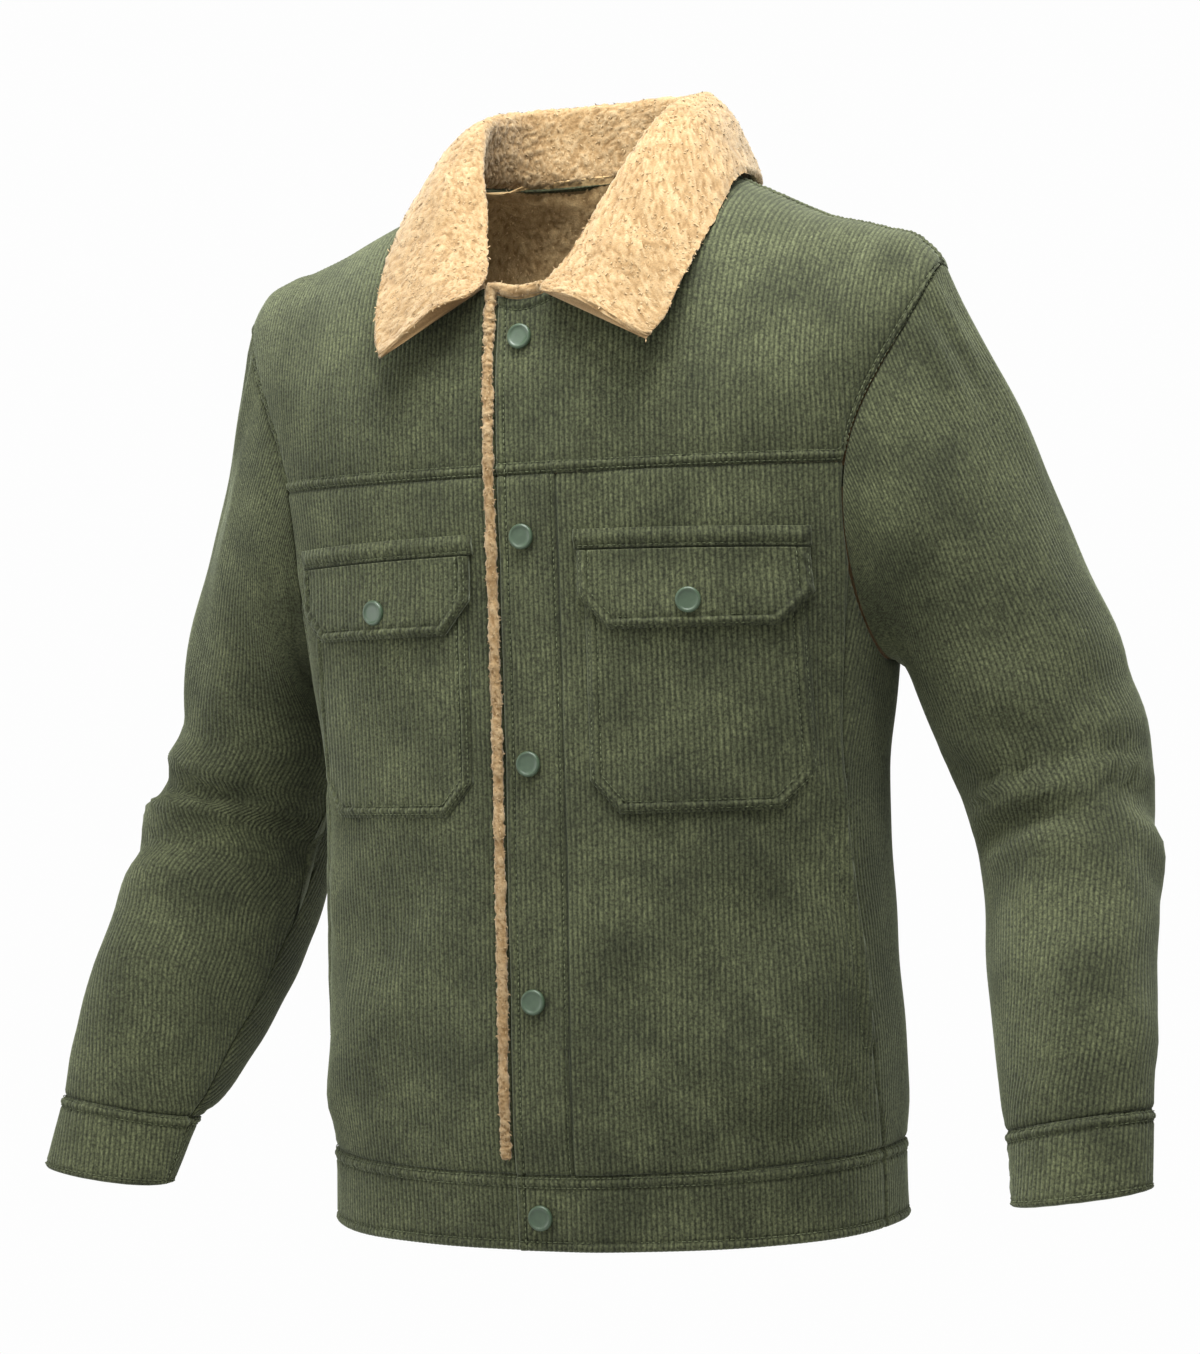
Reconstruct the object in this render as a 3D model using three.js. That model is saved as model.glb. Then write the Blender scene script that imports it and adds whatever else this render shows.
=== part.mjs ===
// Corduroy jacket, worn form with nobody inside. Millimetres, +Z up, front faces -Y,
// +X is the wearer's left. The origin is at the centre of the neck opening.
import * as THREE from 'three';

const CLOTH = 2.4;
const SEAM_GAP = 0.35;
const LAYER_GAP = 0.4;
const FLEECE = 5.5;

// One row for each loop around the body, from the hem up to the neck seam.
const BODY_COLUMNS = [
  'front_z', 'side_z', 'back_z', 'hold', 'half_width', 'front_depth', 'back_depth', 'side_y', 'square', 'pinch'];
const BODY_ROWS = [
  [-680, -676, -680, 0, 189, 124, 112, 0, 2.35, 0],
  [-633, -626, -632, 0, 189, 125, 113, 0, 2.35, 0],
  [-590, -590, -590, 0, 191, 127, 117, 0, 2.35, 0],
  [-500, -500, -500, 0, 188, 123, 114, 0, 2.35, 0],
  [-410, -410, -410, 0, 185, 120, 113, 0, 2.35, 0],
  [-325, -325, -325, 0, 196, 118, 115, 0, 2.35, 0],
  [-203, -203, -203, 0, 215, 118, 116, 0, 2.3, 0],
  [-150, -80, -116, 0.7, 239, 117, 108, 2, 2.05, 0.14],
  [-116, -42, -44, -0.4, 162, 116, 90, 6, 2.1, 0.1],
  [-94, -4, 0, 0, 82, 117, 65, 10, 2.0, 0],
];
const HEM = 0;
const BAND_TOP = 1;
const UNDERARM = 5;
const YOKE = 6;
const SHOULDER_TIP = 7;
const NECK = 9;

// The armhole is an ellipse in the body's own directions: turn around it and level up it.
const ARMHOLE_TURN = 92;
const ARMHOLE_HALF_TURN = 33;
const ARMHOLE_STEP = 15;
const SIDE_SEAM_STATION = 60;
const SIDE_SEAM_AT_BAND = 80;
const NECK_SIDE_TURN = 90;

// One row for each ring of the left sleeve below the underarm, down to the cuff's end.
const ARM_COLUMNS = ['x', 'y', 'z', 'long', 'short', 'twist'];
const ARM_ROWS = [
  [266, 48, -345, 74, 64, 0],
  [286, 51, -405, 72, 60, 10],
  [297, 32, -460, 72, 54, 26],
  [307, -6, -520, 66, 49, 32],
  [319, -46, -578, 56, 44, 40],
  [324, -61, -602, 49, 39, 55],
  [330, -84, -645, 45, 32, 72],
];
const CUFF_TOP = 6;
const CUFF_END = 7;
const CUFF_LEVELLING = 0.5;
const LEVELLING_FROM = 4;
const LEVELLING_TO = 6.5;

// Soft folds, each a straight run in the surface's own directions.
// turn is in degrees, level in rows; width and height are in millimetres, below zero for a hollow.
const FOLD_COLUMNS = ['turn_1', 'level_1', 'turn_2', 'level_2', 'width', 'height'];
const BODY_FOLDS = [
  [34, 1.9, 68, 3.1, 28, 4.0],
  [22, 2.6, 60, 3.7, 26, -3.0],
  [44, 1.3, 74, 2.2, 22, -2.5],
  [-66, 1.6, -34, 2.9, 26, 3.5],
  [-60, 2.7, -26, 3.6, 26, -2.5],
  [128, 4.6, 150, 2.4, 28, 4.0],
  [232, 4.6, 210, 2.4, 28, 4.0],
  [150, 5.4, 210, 5.4, 34, -3.0],
  [140, 1.6, 175, 2.4, 26, -3.0],
  [220, 1.5, 190, 2.2, 26, -3.0],
];
const LEFT_SLEEVE_FOLDS = [
  [150, 0.55, 215, 0.95, 55, 4.0],
  [150, 0.45, 215, 0.62, 20, 4.0],
  [140, 0.64, 225, 0.82, 18, -3.5],
  [120, 0.88, 205, 1.06, 18, 4.5],
  [110, 1.16, 210, 1.34, 18, -4.0],
  [150, 1.55, 240, 1.70, 20, 4.0],
  [30, 1.70, 130, 2.05, 17, -4.5],
  [20, 2.16, 150, 2.48, 18, 5.0],
  [40, 2.66, 170, 2.92, 17, -4.5],
  [150, 3.05, 240, 3.25, 18, 3.5],
  [60, 3.50, 140, 3.66, 17, -3.0],
  [20, 4.10, 120, 4.30, 16, 3.0],
  [200, 4.40, 300, 4.50, 16, -2.5],
];
const RIGHT_SLEEVE_FOLDS = [
  [170, 0.20, 215, 0.60, 50, 3.0],
  [165, 0.80, 195, 1.70, 60, -9.0],
  [120, 0.50, 200, 0.66, 19, -4.0],
  [130, 0.78, 215, 0.95, 19, 3.5],
  [60, 1.05, 150, 1.30, 18, -4.0],
  [70, 1.50, 170, 1.72, 18, 4.0],
  [60, 1.95, 170, 2.15, 17, -4.5],
  [60, 2.38, 180, 2.58, 18, 5.5],
  [70, 2.82, 190, 3.02, 17, -4.5],
  [40, 3.34, 130, 3.50, 17, 3.5],
  [160, 3.70, 250, 3.85, 17, -3.0],
  [40, 4.20, 150, 4.35, 16, 3.0],
];
const ARM_LEVEL_LENGTH = 62;
const ARM_MEAN_RADIUS = 62;
const BODY_LEVEL_LENGTH = 90;
const BODY_MEAN_RADIUS = 165;

// The left front laps over the right one.
const PLACKET_EDGE_X = -16;
const PLACKET_SEAM_X = 23;
const UNDER_LAP_X = 18;
const LAP_LIFT = CLOTH + LAYER_GAP;
const LAP_END_X = 70;

const EDGE_ROLL = { x: -20.4, half_width: 3.6, half_depth: 2.4, bottom_level: 1.25, neck_end_x: 15 };
const SNAP = { radius: 8.5, rim: 1.6, height: 3.4 };
const SNAP_HEIGHTS = [-118, -241, -381, -527, -659];
const SNAP_X = 0.5;

const POCKET = { inner_x: 40, outer_x: 168, top: -251, bottom: -413, corner: 20 };
const WELT = { inner_x: 35, outer_x: 172, top: -238, bottom: -250.5, corner: 0 };
const FLAP = { inner_x: 37, outer_x: 171, top: -251, bottom: -300, corner: 18 };
const POCKET_LIFT = 0.8;
const POCKET_CLOTH = 2;
const WELT_THICK = 3.4;
const FLAP_SNAP = { x: 104, z: -283 };

const BACK_COLUMNS = 18;
const LINING_LOW_LEVEL = 6.4;

// The collar's three lines for one side, from the middle of the back to the front end.
const COLLAR_COLUMNS = ['fold_x', 'fold_y', 'fold_z', 'edge_x', 'edge_y', 'edge_z'];
const COLLAR_ROWS = [
  [0, 81, 49, 0, 111, -25],
  [42, 75, 48, 58, 102, -23],
  [66, 47, 44, 92, 70, -17],
  [70, 15, 37, 107, 23, -12],
  [66, -14, 27, 112, -20, -19],
  [56, -42, 2, 112, -60, -48],
  [41, -74, -40, 105, -95, -83],
  [29, -103, -75, 98, -116, -112],
  [20, -123, -91, 90, -127, -126],
];
const COLLAR = { thick: 9, left_end_x: 20, right_end_x: 28, seam_lift: 6, puff: 5 };

const GREEN = { color: 0x4c5039, roughness: 0.95, metalness: 0 };
const CREAM = { color: 0xd8c195, roughness: 1, metalness: 0 };
const SNAP_PAINT = { color: 0x4a5a41, roughness: 0.45, metalness: 0.2 };

const radians = THREE.MathUtils.degToRad;
const clamp = THREE.MathUtils.clamp;
const lerp = THREE.MathUtils.lerp;
const smooth = (value, low, high) => THREE.MathUtils.smoothstep(value, low, high);

function steps(count) {
  return Array.from({ length: count + 1 }, (_, index) => index / count);
}

function curveThrough(values, place) {
  const last = values.length - 1;
  const start = clamp(Math.floor(place), 0, last - 1);
  const part = place - start;
  const at = (index) => values[clamp(index, 0, last)];
  const slopeIn = start === 0 ? at(1) - at(0) : (at(start + 1) - at(start - 1)) / 2;
  const slopeOut = start + 1 === last ? at(last) - at(last - 1) : (at(start + 2) - at(start)) / 2;
  const square = part * part;
  const cube = square * part;
  return at(start) * (2 * cube - 3 * square + 1) + slopeIn * (cube - 2 * square + part)
    + at(start + 1) * (3 * square - 2 * cube) + slopeOut * (cube - square);
}

function rowAt(columns, rows, place) {
  const row = {};
  columns.forEach((name, index) => {
    row[name] = curveThrough(rows.map((values) => values[index]), place);
  });
  return row;
}

function foldHeight(folds, turn, level, radius, levelLength) {
  let height = 0;
  for (const values of folds) {
    const fold = Object.fromEntries(FOLD_COLUMNS.map((name, index) => [name, values[index]]));
    const across = radians(1) * radius;
    const run = [(fold.turn_2 - fold.turn_1) * across, (fold.level_2 - fold.level_1) * levelLength];
    const from = [(turn - fold.turn_1) * across, (level - fold.level_1) * levelLength];
    const length = Math.hypot(run[0], run[1]);
    const along = (from[0] * run[0] + from[1] * run[1]) / (length * length);
    const aside = (from[0] * run[1] - from[1] * run[0]) / length;
    const ends = smooth(along, -0.15, 0.3) * (1 - smooth(along, 0.7, 1.15));
    height += fold.height * ends * Math.exp(-((aside / fold.width) ** 2));
  }
  return height;
}

// A plain loop of the body before its folds.
function bodyBase(turn, level) {
  const row = rowAt(BODY_COLUMNS, BODY_ROWS, level);
  const angle = radians(turn);
  const across = Math.sin(angle);
  const ahead = Math.cos(angle);
  const round = (Math.abs(across) ** row.square + Math.abs(ahead) ** row.square) ** (-1 / row.square);
  const narrow = 1 - row.pinch * across ** 4;
  const depth = (ahead > 0 ? row.front_depth : row.back_depth) * narrow;
  const endHeight = ahead > 0 ? row.front_z : row.back_z;
  const height = lerp(row.side_z, endHeight, ahead * ahead * (1 + row.hold * across * across));
  return new THREE.Vector3(row.half_width * across * round, row.side_y - depth * ahead * round, height);
}

function normalOf(surface, first, second, firstStep, secondStep) {
  const along = surface(first + firstStep, second).sub(surface(first - firstStep, second));
  const up = surface(first, second + secondStep).sub(surface(first, second - secondStep));
  return along.cross(up).normalize();
}

function bodyFolded(turn, level) {
  const signedTurn = turn > 180 ? turn - 360 : turn;
  const folds = foldHeight(BODY_FOLDS, turn, level, BODY_MEAN_RADIUS, BODY_LEVEL_LENGTH);
  const wrapped = turn > 180 ? foldHeight(BODY_FOLDS, signedTurn, level, BODY_MEAN_RADIUS, BODY_LEVEL_LENGTH) : 0;
  const calm = smooth(level, BAND_TOP, BAND_TOP + 0.5) * (1 - smooth(level, UNDERARM + 0.7, YOKE));
  const point = bodyBase(turn, level);
  return point.addScaledVector(normalOf(bodyBase, turn, level, 0.4, 0.02), (folds + wrapped) * calm);
}

function bodyPoint(turn, level, lift = 0) {
  const inner = Math.min(level, NECK - 0.02);
  const normal = normalOf(bodyFolded, turn, inner, 0.4, 0.02);
  return { point: bodyFolded(turn, level).addScaledVector(normal, lift), normal };
}

function solve(low, high, isHigh) {
  let from = low;
  let to = high;
  for (let round = 0; round < 40; round += 1) {
    const middle = (from + to) / 2;
    if (isHigh(middle)) to = middle;
    else from = middle;
  }
  return (from + to) / 2;
}

// Turn at which the front of one loop reaches a distance from the middle.
function turnAtX(x, level) {
  const turn = solve(0, 89, (value) => bodyBase(value, level).x > Math.abs(x));
  return Math.sign(x) * turn;
}

function levelAtZ(turn, z) {
  return solve(HEM, NECK, (value) => bodyBase(turn, value).z > z);
}

function placeOnFront(x, z) {
  let level = levelAtZ(0, z);
  let turn = 0;
  for (let round = 0; round < 6; round += 1) {
    turn = turnAtX(x, level);
    level = levelAtZ(turn, z);
  }
  return { turn, level };
}

function lapLift(x) {
  return LAP_LIFT * (1 - smooth(x, PLACKET_SEAM_X, LAP_END_X));
}

function leftFrontPoint(turn, level, lift = 0) {
  return bodyPoint(turn, level, lift + lapLift(bodyBase(turn, level).x));
}

function armholeTurn(station) {
  return ARMHOLE_TURN - ARMHOLE_HALF_TURN * Math.sin(radians(station));
}

function armholeLevel(station) {
  return (UNDERARM + SHOULDER_TIP) / 2 - Math.cos(radians(station));
}

function stationsBetween(first, last) {
  const count = Math.round(Math.abs(last - first) / ARMHOLE_STEP);
  return steps(count).map((part) => lerp(first, last, part));
}

// A closed wall over joined grids of surface points. Each grid is rows of {point, normal}.
function wall(grids, thickness) {
  const outer = [];
  const inner = [];
  const known = new Map();
  const faces = [];
  const indexOf = (entry) => {
    const key = entry.point.toArray().map((value) => value.toFixed(3)).join(' ');
    if (!known.has(key)) {
      known.set(key, outer.length);
      outer.push(entry.point);
      inner.push(entry.inner ?? entry.point.clone().addScaledVector(entry.normal, -thickness));
    }
    return known.get(key);
  };
  for (const grid of grids) {
    for (let row = 0; row + 1 < grid.length; row += 1) {
      for (let column = 0; column + 1 < grid[row].length; column += 1) {
        const a = indexOf(grid[row][column]);
        const b = indexOf(grid[row][column + 1]);
        const c = indexOf(grid[row + 1][column + 1]);
        const d = indexOf(grid[row + 1][column]);
        for (const face of [[a, b, c], [a, c, d]]) {
          if (new Set(face).size === 3) faces.push(face);
        }
      }
    }
  }
  return closedWall(outer, inner, faces);
}

// Both walls at a seam split their rims the same way, so the rims stay parallel.
function isHigher(first, second) {
  const rise = first.z - second.z;
  return Math.abs(rise) > 0.3 ? rise > 0 : Math.abs(first.x) > Math.abs(second.x);
}

function closedWall(outer, inner, faces) {
  const count = outer.length;
  const borders = new Map();
  const triangles = [];
  for (const [a, b, c] of faces) {
    triangles.push([a, b, c], [a + count, c + count, b + count]);
    for (const [from, to] of [[a, b], [b, c], [c, a]]) {
      if (borders.has(`${to} ${from}`)) borders.delete(`${to} ${from}`);
      else borders.set(`${from} ${to}`, [from, to]);
    }
  }
  for (const [from, to] of borders.values()) {
    if (isHigher(outer[to], outer[from])) triangles.push([to, from, from + count], [to, from + count, to + count]);
    else triangles.push([to, from, to + count], [from, from + count, to + count]);
  }
  return geometryOf([...outer, ...inner], triangles);
}

function geometryOf(points, triangles) {
  const geometry = new THREE.BufferGeometry();
  const numbers = points.flatMap((point) => point.toArray());
  geometry.setAttribute('position', new THREE.Float32BufferAttribute(numbers, 3));
  geometry.setIndex(triangles.flat());
  geometry.computeVertexNormals();
  return geometry;
}

function mirrored(geometry) {
  const copy = geometry.clone().scale(-1, 1, 1);
  const index = Array.from(copy.getIndex().array);
  for (let start = 0; start < index.length; start += 3) {
    [index[start + 1], index[start + 2]] = [index[start + 2], index[start + 1]];
  }
  copy.setIndex(index);
  copy.computeVertexNormals();
  return copy;
}

const jacket = new THREE.Group();

function add(name, geometry, finish) {
  const mesh = new THREE.Mesh(geometry, new THREE.MeshStandardMaterial(finish));
  mesh.name = name;
  jacket.add(mesh);
}

function gapInTurn(level) {
  return THREE.MathUtils.radToDeg(SEAM_GAP / 2 / rowAt(BODY_COLUMNS, BODY_ROWS, level).half_width);
}

const LEVEL_GAP = SEAM_GAP / 2 / 60;

function gridOf(rowPlaces, columnCount, pointAt) {
  return rowPlaces.map((place) => steps(columnCount).map((part) => pointAt(place, part)));
}

// Levels of the side seam from the band up to the armhole.
function seamRows() {
  return steps(9).map((part) => ({ part, level: lerp(BAND_TOP + LEVEL_GAP, armholeLevel(SIDE_SEAM_STATION), part) }));
}

function sideSeamTurn(part) {
  return lerp(SIDE_SEAM_AT_BAND, armholeTurn(SIDE_SEAM_STATION), part);
}

function frontRows() {
  const low = seamRows().map(({ part, level }) => ({ level, turn: sideSeamTurn(part) }));
  const high = stationsBetween(SIDE_SEAM_STATION, 90).slice(1)
    .map((station) => ({ level: armholeLevel(station), turn: armholeTurn(station) }));
  high[high.length - 1].level -= LEVEL_GAP;
  return [...low, ...high];
}

function yokeRows() {
  const low = stationsBetween(90, 180)
    .map((station) => ({ level: armholeLevel(station), turn: armholeTurn(station) }));
  low[0].level += LEVEL_GAP;
  const high = steps(7).slice(1).map((part) => ({
    level: lerp(SHOULDER_TIP, NECK, part ** 1.3),
    turn: lerp(ARMHOLE_TURN, NECK_SIDE_TURN, part),
  }));
  return [...low, ...high];
}

// The wearer's left front and yoke; side is -1 for the right ones.
function frontPanel(rows, side, innerX, columns) {
  const pointAt = side > 0 ? leftFrontPoint : bodyPoint;
  const grid = gridOf(rows, columns, ({ level, turn }, part) => {
    const inner = turnAtX(innerX, level);
    const outer = side * (turn - gapInTurn(level));
    return pointAt(lerp(inner, outer, part), level);
  });
  return wall([side > 0 ? grid : grid.map((row) => row.reverse())], CLOTH);
}

function addFronts() {
  const seam = PLACKET_SEAM_X + SEAM_GAP / 2;
  add('front_left', frontPanel(frontRows(), 1, seam, 12), GREEN);
  add('front_right', frontPanel(frontRows(), -1, UNDER_LAP_X, 13), GREEN);
  add('front_yoke_left', frontPanel(yokeRows(), 1, PLACKET_EDGE_X, 11), GREEN);
  add('front_yoke_right', frontPanel(yokeRows(), -1, UNDER_LAP_X, 11), GREEN);
}

function addPlacket() {
  const levels = frontRows().map(({ level }) => level);
  const grid = gridOf(levels, 2, (level, part) => {
    const x = lerp(PLACKET_EDGE_X, PLACKET_SEAM_X - SEAM_GAP / 2, part);
    return leftFrontPoint(turnAtX(x, level), level);
  });
  add('placket_left', wall([grid], CLOTH), GREEN);
}

// Rows of the back from the middle of the armhole up to the neck.
function upperBackRows() {
  const low = stationsBetween(-90, -180)
    .map((station) => ({ level: armholeLevel(station), turn: armholeTurn(station) }));
  const high = yokeRows().filter(({ level }) => level > SHOULDER_TIP + 0.01);
  return [...low, ...high].map(({ level, turn }) => (
    { level, turn: turn + (level >= SHOULDER_TIP ? gapInTurn(level) : 0) }));
}

function backRow({ level, turn }) {
  return steps(BACK_COLUMNS).map((part) => ({ turn: lerp(turn, 360 - turn, part), level }));
}

function addBack() {
  const rise = seamRows().map(({ part }) => part);
  const stations = stationsBetween(SIDE_SEAM_STATION, -90);
  const backEdge = ARMHOLE_TURN + ARMHOLE_HALF_TURN;
  const underArm = rise.map((part) => stations.map((station, index) => {
    const low = lerp(SIDE_SEAM_AT_BAND, backEdge, index / (stations.length - 1));
    const gap = index === 0 ? gapInTurn(4) : 0;
    const turn = lerp(low, armholeTurn(station), part) + gap;
    return { turn, level: lerp(BAND_TOP + LEVEL_GAP, armholeLevel(station), part) };
  }));
  const mirroredSide = underArm.map((row) => row.map(({ turn, level }) => ({ turn: 360 - turn, level })).reverse());
  const low = rise.map((part) => ({ level: lerp(BAND_TOP + LEVEL_GAP, YOKE, part), turn: backEdge }));
  const centre = [...low, ...upperBackRows().slice(1)].map(backRow);
  const grids = [underArm, centre, mirroredSide]
    .map((grid) => grid.map((row) => row.map(({ turn, level }) => bodyPoint(turn, level))));
  add('back', wall(grids, CLOTH), GREEN);
}

function bandPiece(fromTurn, toTurn, columns, pointAt) {
  const levels = [HEM, HEM + 0.5, BAND_TOP - LEVEL_GAP];
  return wall([gridOf(levels, columns, (level, part) => {
    const from = fromTurn(level);
    const to = toTurn(level);
    return pointAt(lerp(from, to, part), level);
  })], CLOTH);
}

function addWaistband() {
  const seam = SIDE_SEAM_AT_BAND;
  add('waistband_left', bandPiece(
    (level) => turnAtX(PLACKET_EDGE_X, level), (level) => seam - gapInTurn(level), 14, leftFrontPoint), GREEN);
  add('waistband_right', bandPiece(
    (level) => -seam + gapInTurn(level), (level) => turnAtX(UNDER_LAP_X, level), 14, bodyPoint), GREEN);
  add('waistband_back', bandPiece(
    (level) => seam + gapInTurn(level), (level) => 360 - seam - gapInTurn(level), 24, bodyPoint), GREEN);
}

function armRing(place) {
  const row = rowAt(ARM_COLUMNS, ARM_ROWS, place - 1);
  const ahead = rowAt(ARM_COLUMNS, ARM_ROWS, place - 1 + 0.2);
  const behind = rowAt(ARM_COLUMNS, ARM_ROWS, place - 1 - 0.2);
  const down = new THREE.Vector3(ahead.x - behind.x, ahead.y - behind.y, ahead.z - behind.z).normalize();
  const twist = radians(row.twist);
  const long = new THREE.Vector3(Math.sin(twist), -Math.cos(twist), 0);
  long.addScaledVector(down, -long.dot(down)).normalize();
  const short = long.clone().cross(down).normalize();
  return { centre: new THREE.Vector3(row.x, row.y, row.z), down, long, short, row };
}

// The rings of the forearm turn level towards the cuff, so the cuff hangs with its end facing down.
function armRingPoint(station, place) {
  const { centre, long, short, row } = armRing(place);
  const angle = radians(station - row.twist);
  const point = centre.clone()
    .addScaledVector(short, -row.short * Math.cos(angle))
    .addScaledVector(long, row.long * Math.sin(angle));
  point.z += CUFF_LEVELLING * smooth(place, LEVELLING_FROM, LEVELLING_TO) * (point.y - centre.y);
  return point;
}

// Where the sleeve leaves the armhole, and how it turns away from the body there.
function armholeFrame(station) {
  const turn = armholeTurn(station);
  const level = armholeLevel(station);
  const { point, normal } = bodyPoint(turn, level);
  const before = bodyFolded(armholeTurn(station - 1), armholeLevel(station - 1));
  const after = bodyFolded(armholeTurn(station + 1), armholeLevel(station + 1));
  const along = after.sub(before).normalize();
  const intoHole = along.clone().cross(normal).normalize();
  const top = (1 - Math.cos(radians(station))) / 2;
  const keep = lerp(0.1, 1, smooth(top, 0.05, 1));
  const leave = Math.sqrt(1 - keep * keep);
  return { point, normal, intoHole, keep, leave, top };
}

function sleeveCap(station, place) {
  const { point, normal, intoHole, keep, leave, top } = armholeFrame(station);
  const start = point.addScaledVector(intoHole, SEAM_GAP);
  const end = armRingPoint(station, 1);
  const { down } = armRing(1);
  const reach = start.distanceTo(end);
  const away = intoHole.clone().multiplyScalar(keep).addScaledVector(normal, leave);
  const pull = reach * lerp(0.85, 0.66, top);
  const square = place * place;
  const cube = square * place;
  return start.multiplyScalar(2 * cube - 3 * square + 1)
    .addScaledVector(away, pull * (cube - 2 * square + place))
    .addScaledVector(end, 3 * square - 2 * cube)
    .addScaledVector(down, reach * 0.9 * (cube - square));
}

function sleeveBase(station, place) {
  return place < 1 ? sleeveCap(station, place) : armRingPoint(station, place);
}

function sleeveSurface(folds) {
  const folded = (station, place) => {
    const wrapped = ((station % 360) + 360) % 360;
    const height = foldHeight(folds, wrapped, place, ARM_MEAN_RADIUS, ARM_LEVEL_LENGTH);
    const calm = smooth(place, 0.05, 0.4) * (1 - smooth(place, CUFF_TOP - 0.6, CUFF_TOP));
    const normal = normalOf(sleeveBase, station, Math.max(place, 0.03), 1, 0.02).multiplyScalar(-1);
    return sleeveBase(station, place).addScaledVector(normal, height * calm);
  };
  return (station, place) => {
    const point = folded(station, place);
    const normal = normalOf(folded, station, Math.max(place, 0.03), 1, 0.02).multiplyScalar(-1);
    if (place > 0) return { point, normal };
    const frame = armholeFrame(station);
    const inner = point.clone().addScaledVector(frame.normal, -CLOTH)
      .addScaledVector(frame.intoHole, (CLOTH * frame.leave) / (1 + frame.keep));
    return { point, normal, inner };
  };
}

function sleeveWall(surface, places) {
  const stations = stationsBetween(0, 360);
  return wall([places.map((place) => stations.map((station) => surface(station % 360, place)).reverse())], CLOTH);
}

function addSleeves() {
  const capPlaces = [0, 0.06, 0.16, 0.3, 0.45, 0.6, 0.8];
  const armPlaces = steps(12).map((part) => lerp(1, CUFF_TOP - SEAM_GAP / 2 / 30, part));
  const cuffPlaces = steps(2).map((part) => lerp(CUFF_TOP + SEAM_GAP / 2 / 30, CUFF_END, part));
  const left = sleeveSurface(LEFT_SLEEVE_FOLDS);
  const right = sleeveSurface(RIGHT_SLEEVE_FOLDS);
  const places = [...capPlaces, ...armPlaces];
  add('sleeve_left', sleeveWall(left, places), GREEN);
  add('sleeve_right', mirrored(sleeveWall(right, places)), GREEN);
  add('cuff_left', sleeveWall(left, cuffPlaces), GREEN);
  add('cuff_right', mirrored(sleeveWall(right, cuffPlaces)), GREEN);
}

// A flat piece that lies on a front, with its lower corners cut off.
function patch(shape, side, lift, thickness, columns, rows) {
  const pointAt = side > 0 ? leftFrontPoint : bodyPoint;
  const width = shape.outer_x - shape.inner_x;
  const corner = shape.corner / width;
  const parts = shape.corner > 0
    ? [0, corner / 2, ...steps(columns - 4).map((part) => lerp(corner, 1 - corner, part)), 1 - corner / 2, 1]
    : steps(columns);
  const grid = steps(rows).map((drop) => parts.map((part) => {
    const fromEdge = Math.min(part, 1 - part) * width;
    const bottom = shape.bottom + Math.max(0, shape.corner - fromEdge);
    const x = side * lerp(shape.inner_x, shape.outer_x, part);
    const { turn, level } = placeOnFront(x, lerp(bottom, shape.top, drop));
    return pointAt(turn, level, lift + thickness);
  }));
  return wall([side > 0 ? grid : grid.map((row) => row.reverse())], thickness);
}

function addPockets() {
  for (const [name, side] of [['left', 1], ['right', -1]]) {
    const flapLift = POCKET_LIFT + POCKET_CLOTH + LAYER_GAP;
    add(`pocket_${name}`, patch(POCKET, side, POCKET_LIFT, POCKET_CLOTH, 10, 8), GREEN);
    add(`flap_welt_${name}`, patch(WELT, side, LAYER_GAP, WELT_THICK, 8, 1), GREEN);
    add(`flap_${name}`, patch(FLAP, side, flapLift, CLOTH, 10, 4), GREEN);
    addSnap(`flap_snap_${name}`, side * FLAP_SNAP.x, FLAP_SNAP.z, flapLift + CLOTH, side);
  }
}

// A domed metal cap with a rim, standing on the cloth.
function snapGeometry() {
  const { radius, rim, height } = SNAP;
  const profile = [[0, 0], [radius, 0], [radius, height * 0.55], [radius - 0.5, height * 0.85],
    [radius - rim, height * 0.8], [radius - rim - 0.6, height * 0.72], [radius * 0.4, height * 0.95], [0, height]];
  return new THREE.LatheGeometry(profile.map(([x, y]) => new THREE.Vector2(x, y)), 20);
}

function addSnap(name, x, z, lift, side) {
  const { turn, level } = placeOnFront(x, z);
  const pointAt = side > 0 ? leftFrontPoint : bodyPoint;
  const { point, normal } = pointAt(turn, level, lift + LAYER_GAP);
  const geometry = snapGeometry();
  geometry.applyQuaternion(new THREE.Quaternion().setFromUnitVectors(new THREE.Vector3(0, 1, 0), normal));
  geometry.translate(point.x, point.y, point.z);
  add(name, geometry, SNAP_PAINT);
}

function addSnaps() {
  SNAP_HEIGHTS.forEach((z, index) => addSnap(`snap_${index + 1}`, SNAP_X, z, 0, 1));
}

// A closed solid swept through rings of points; each ring runs the same way round.
function loft(rings) {
  const around = rings[0].length;
  const triangles = [];
  for (let ring = 0; ring + 1 < rings.length; ring += 1) {
    for (let side = 0; side < around; side += 1) {
      const next = (side + 1) % around;
      const a = ring * around + side;
      const b = ring * around + next;
      triangles.push([a, b, b + around], [a, b + around, a + around]);
    }
  }
  const last = (rings.length - 1) * around;
  for (let side = 1; side + 1 < around; side += 1) {
    triangles.push([0, side + 1, side], [last, last + side, last + side + 1]);
  }
  return geometryOf(rings.flat(), triangles);
}

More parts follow.
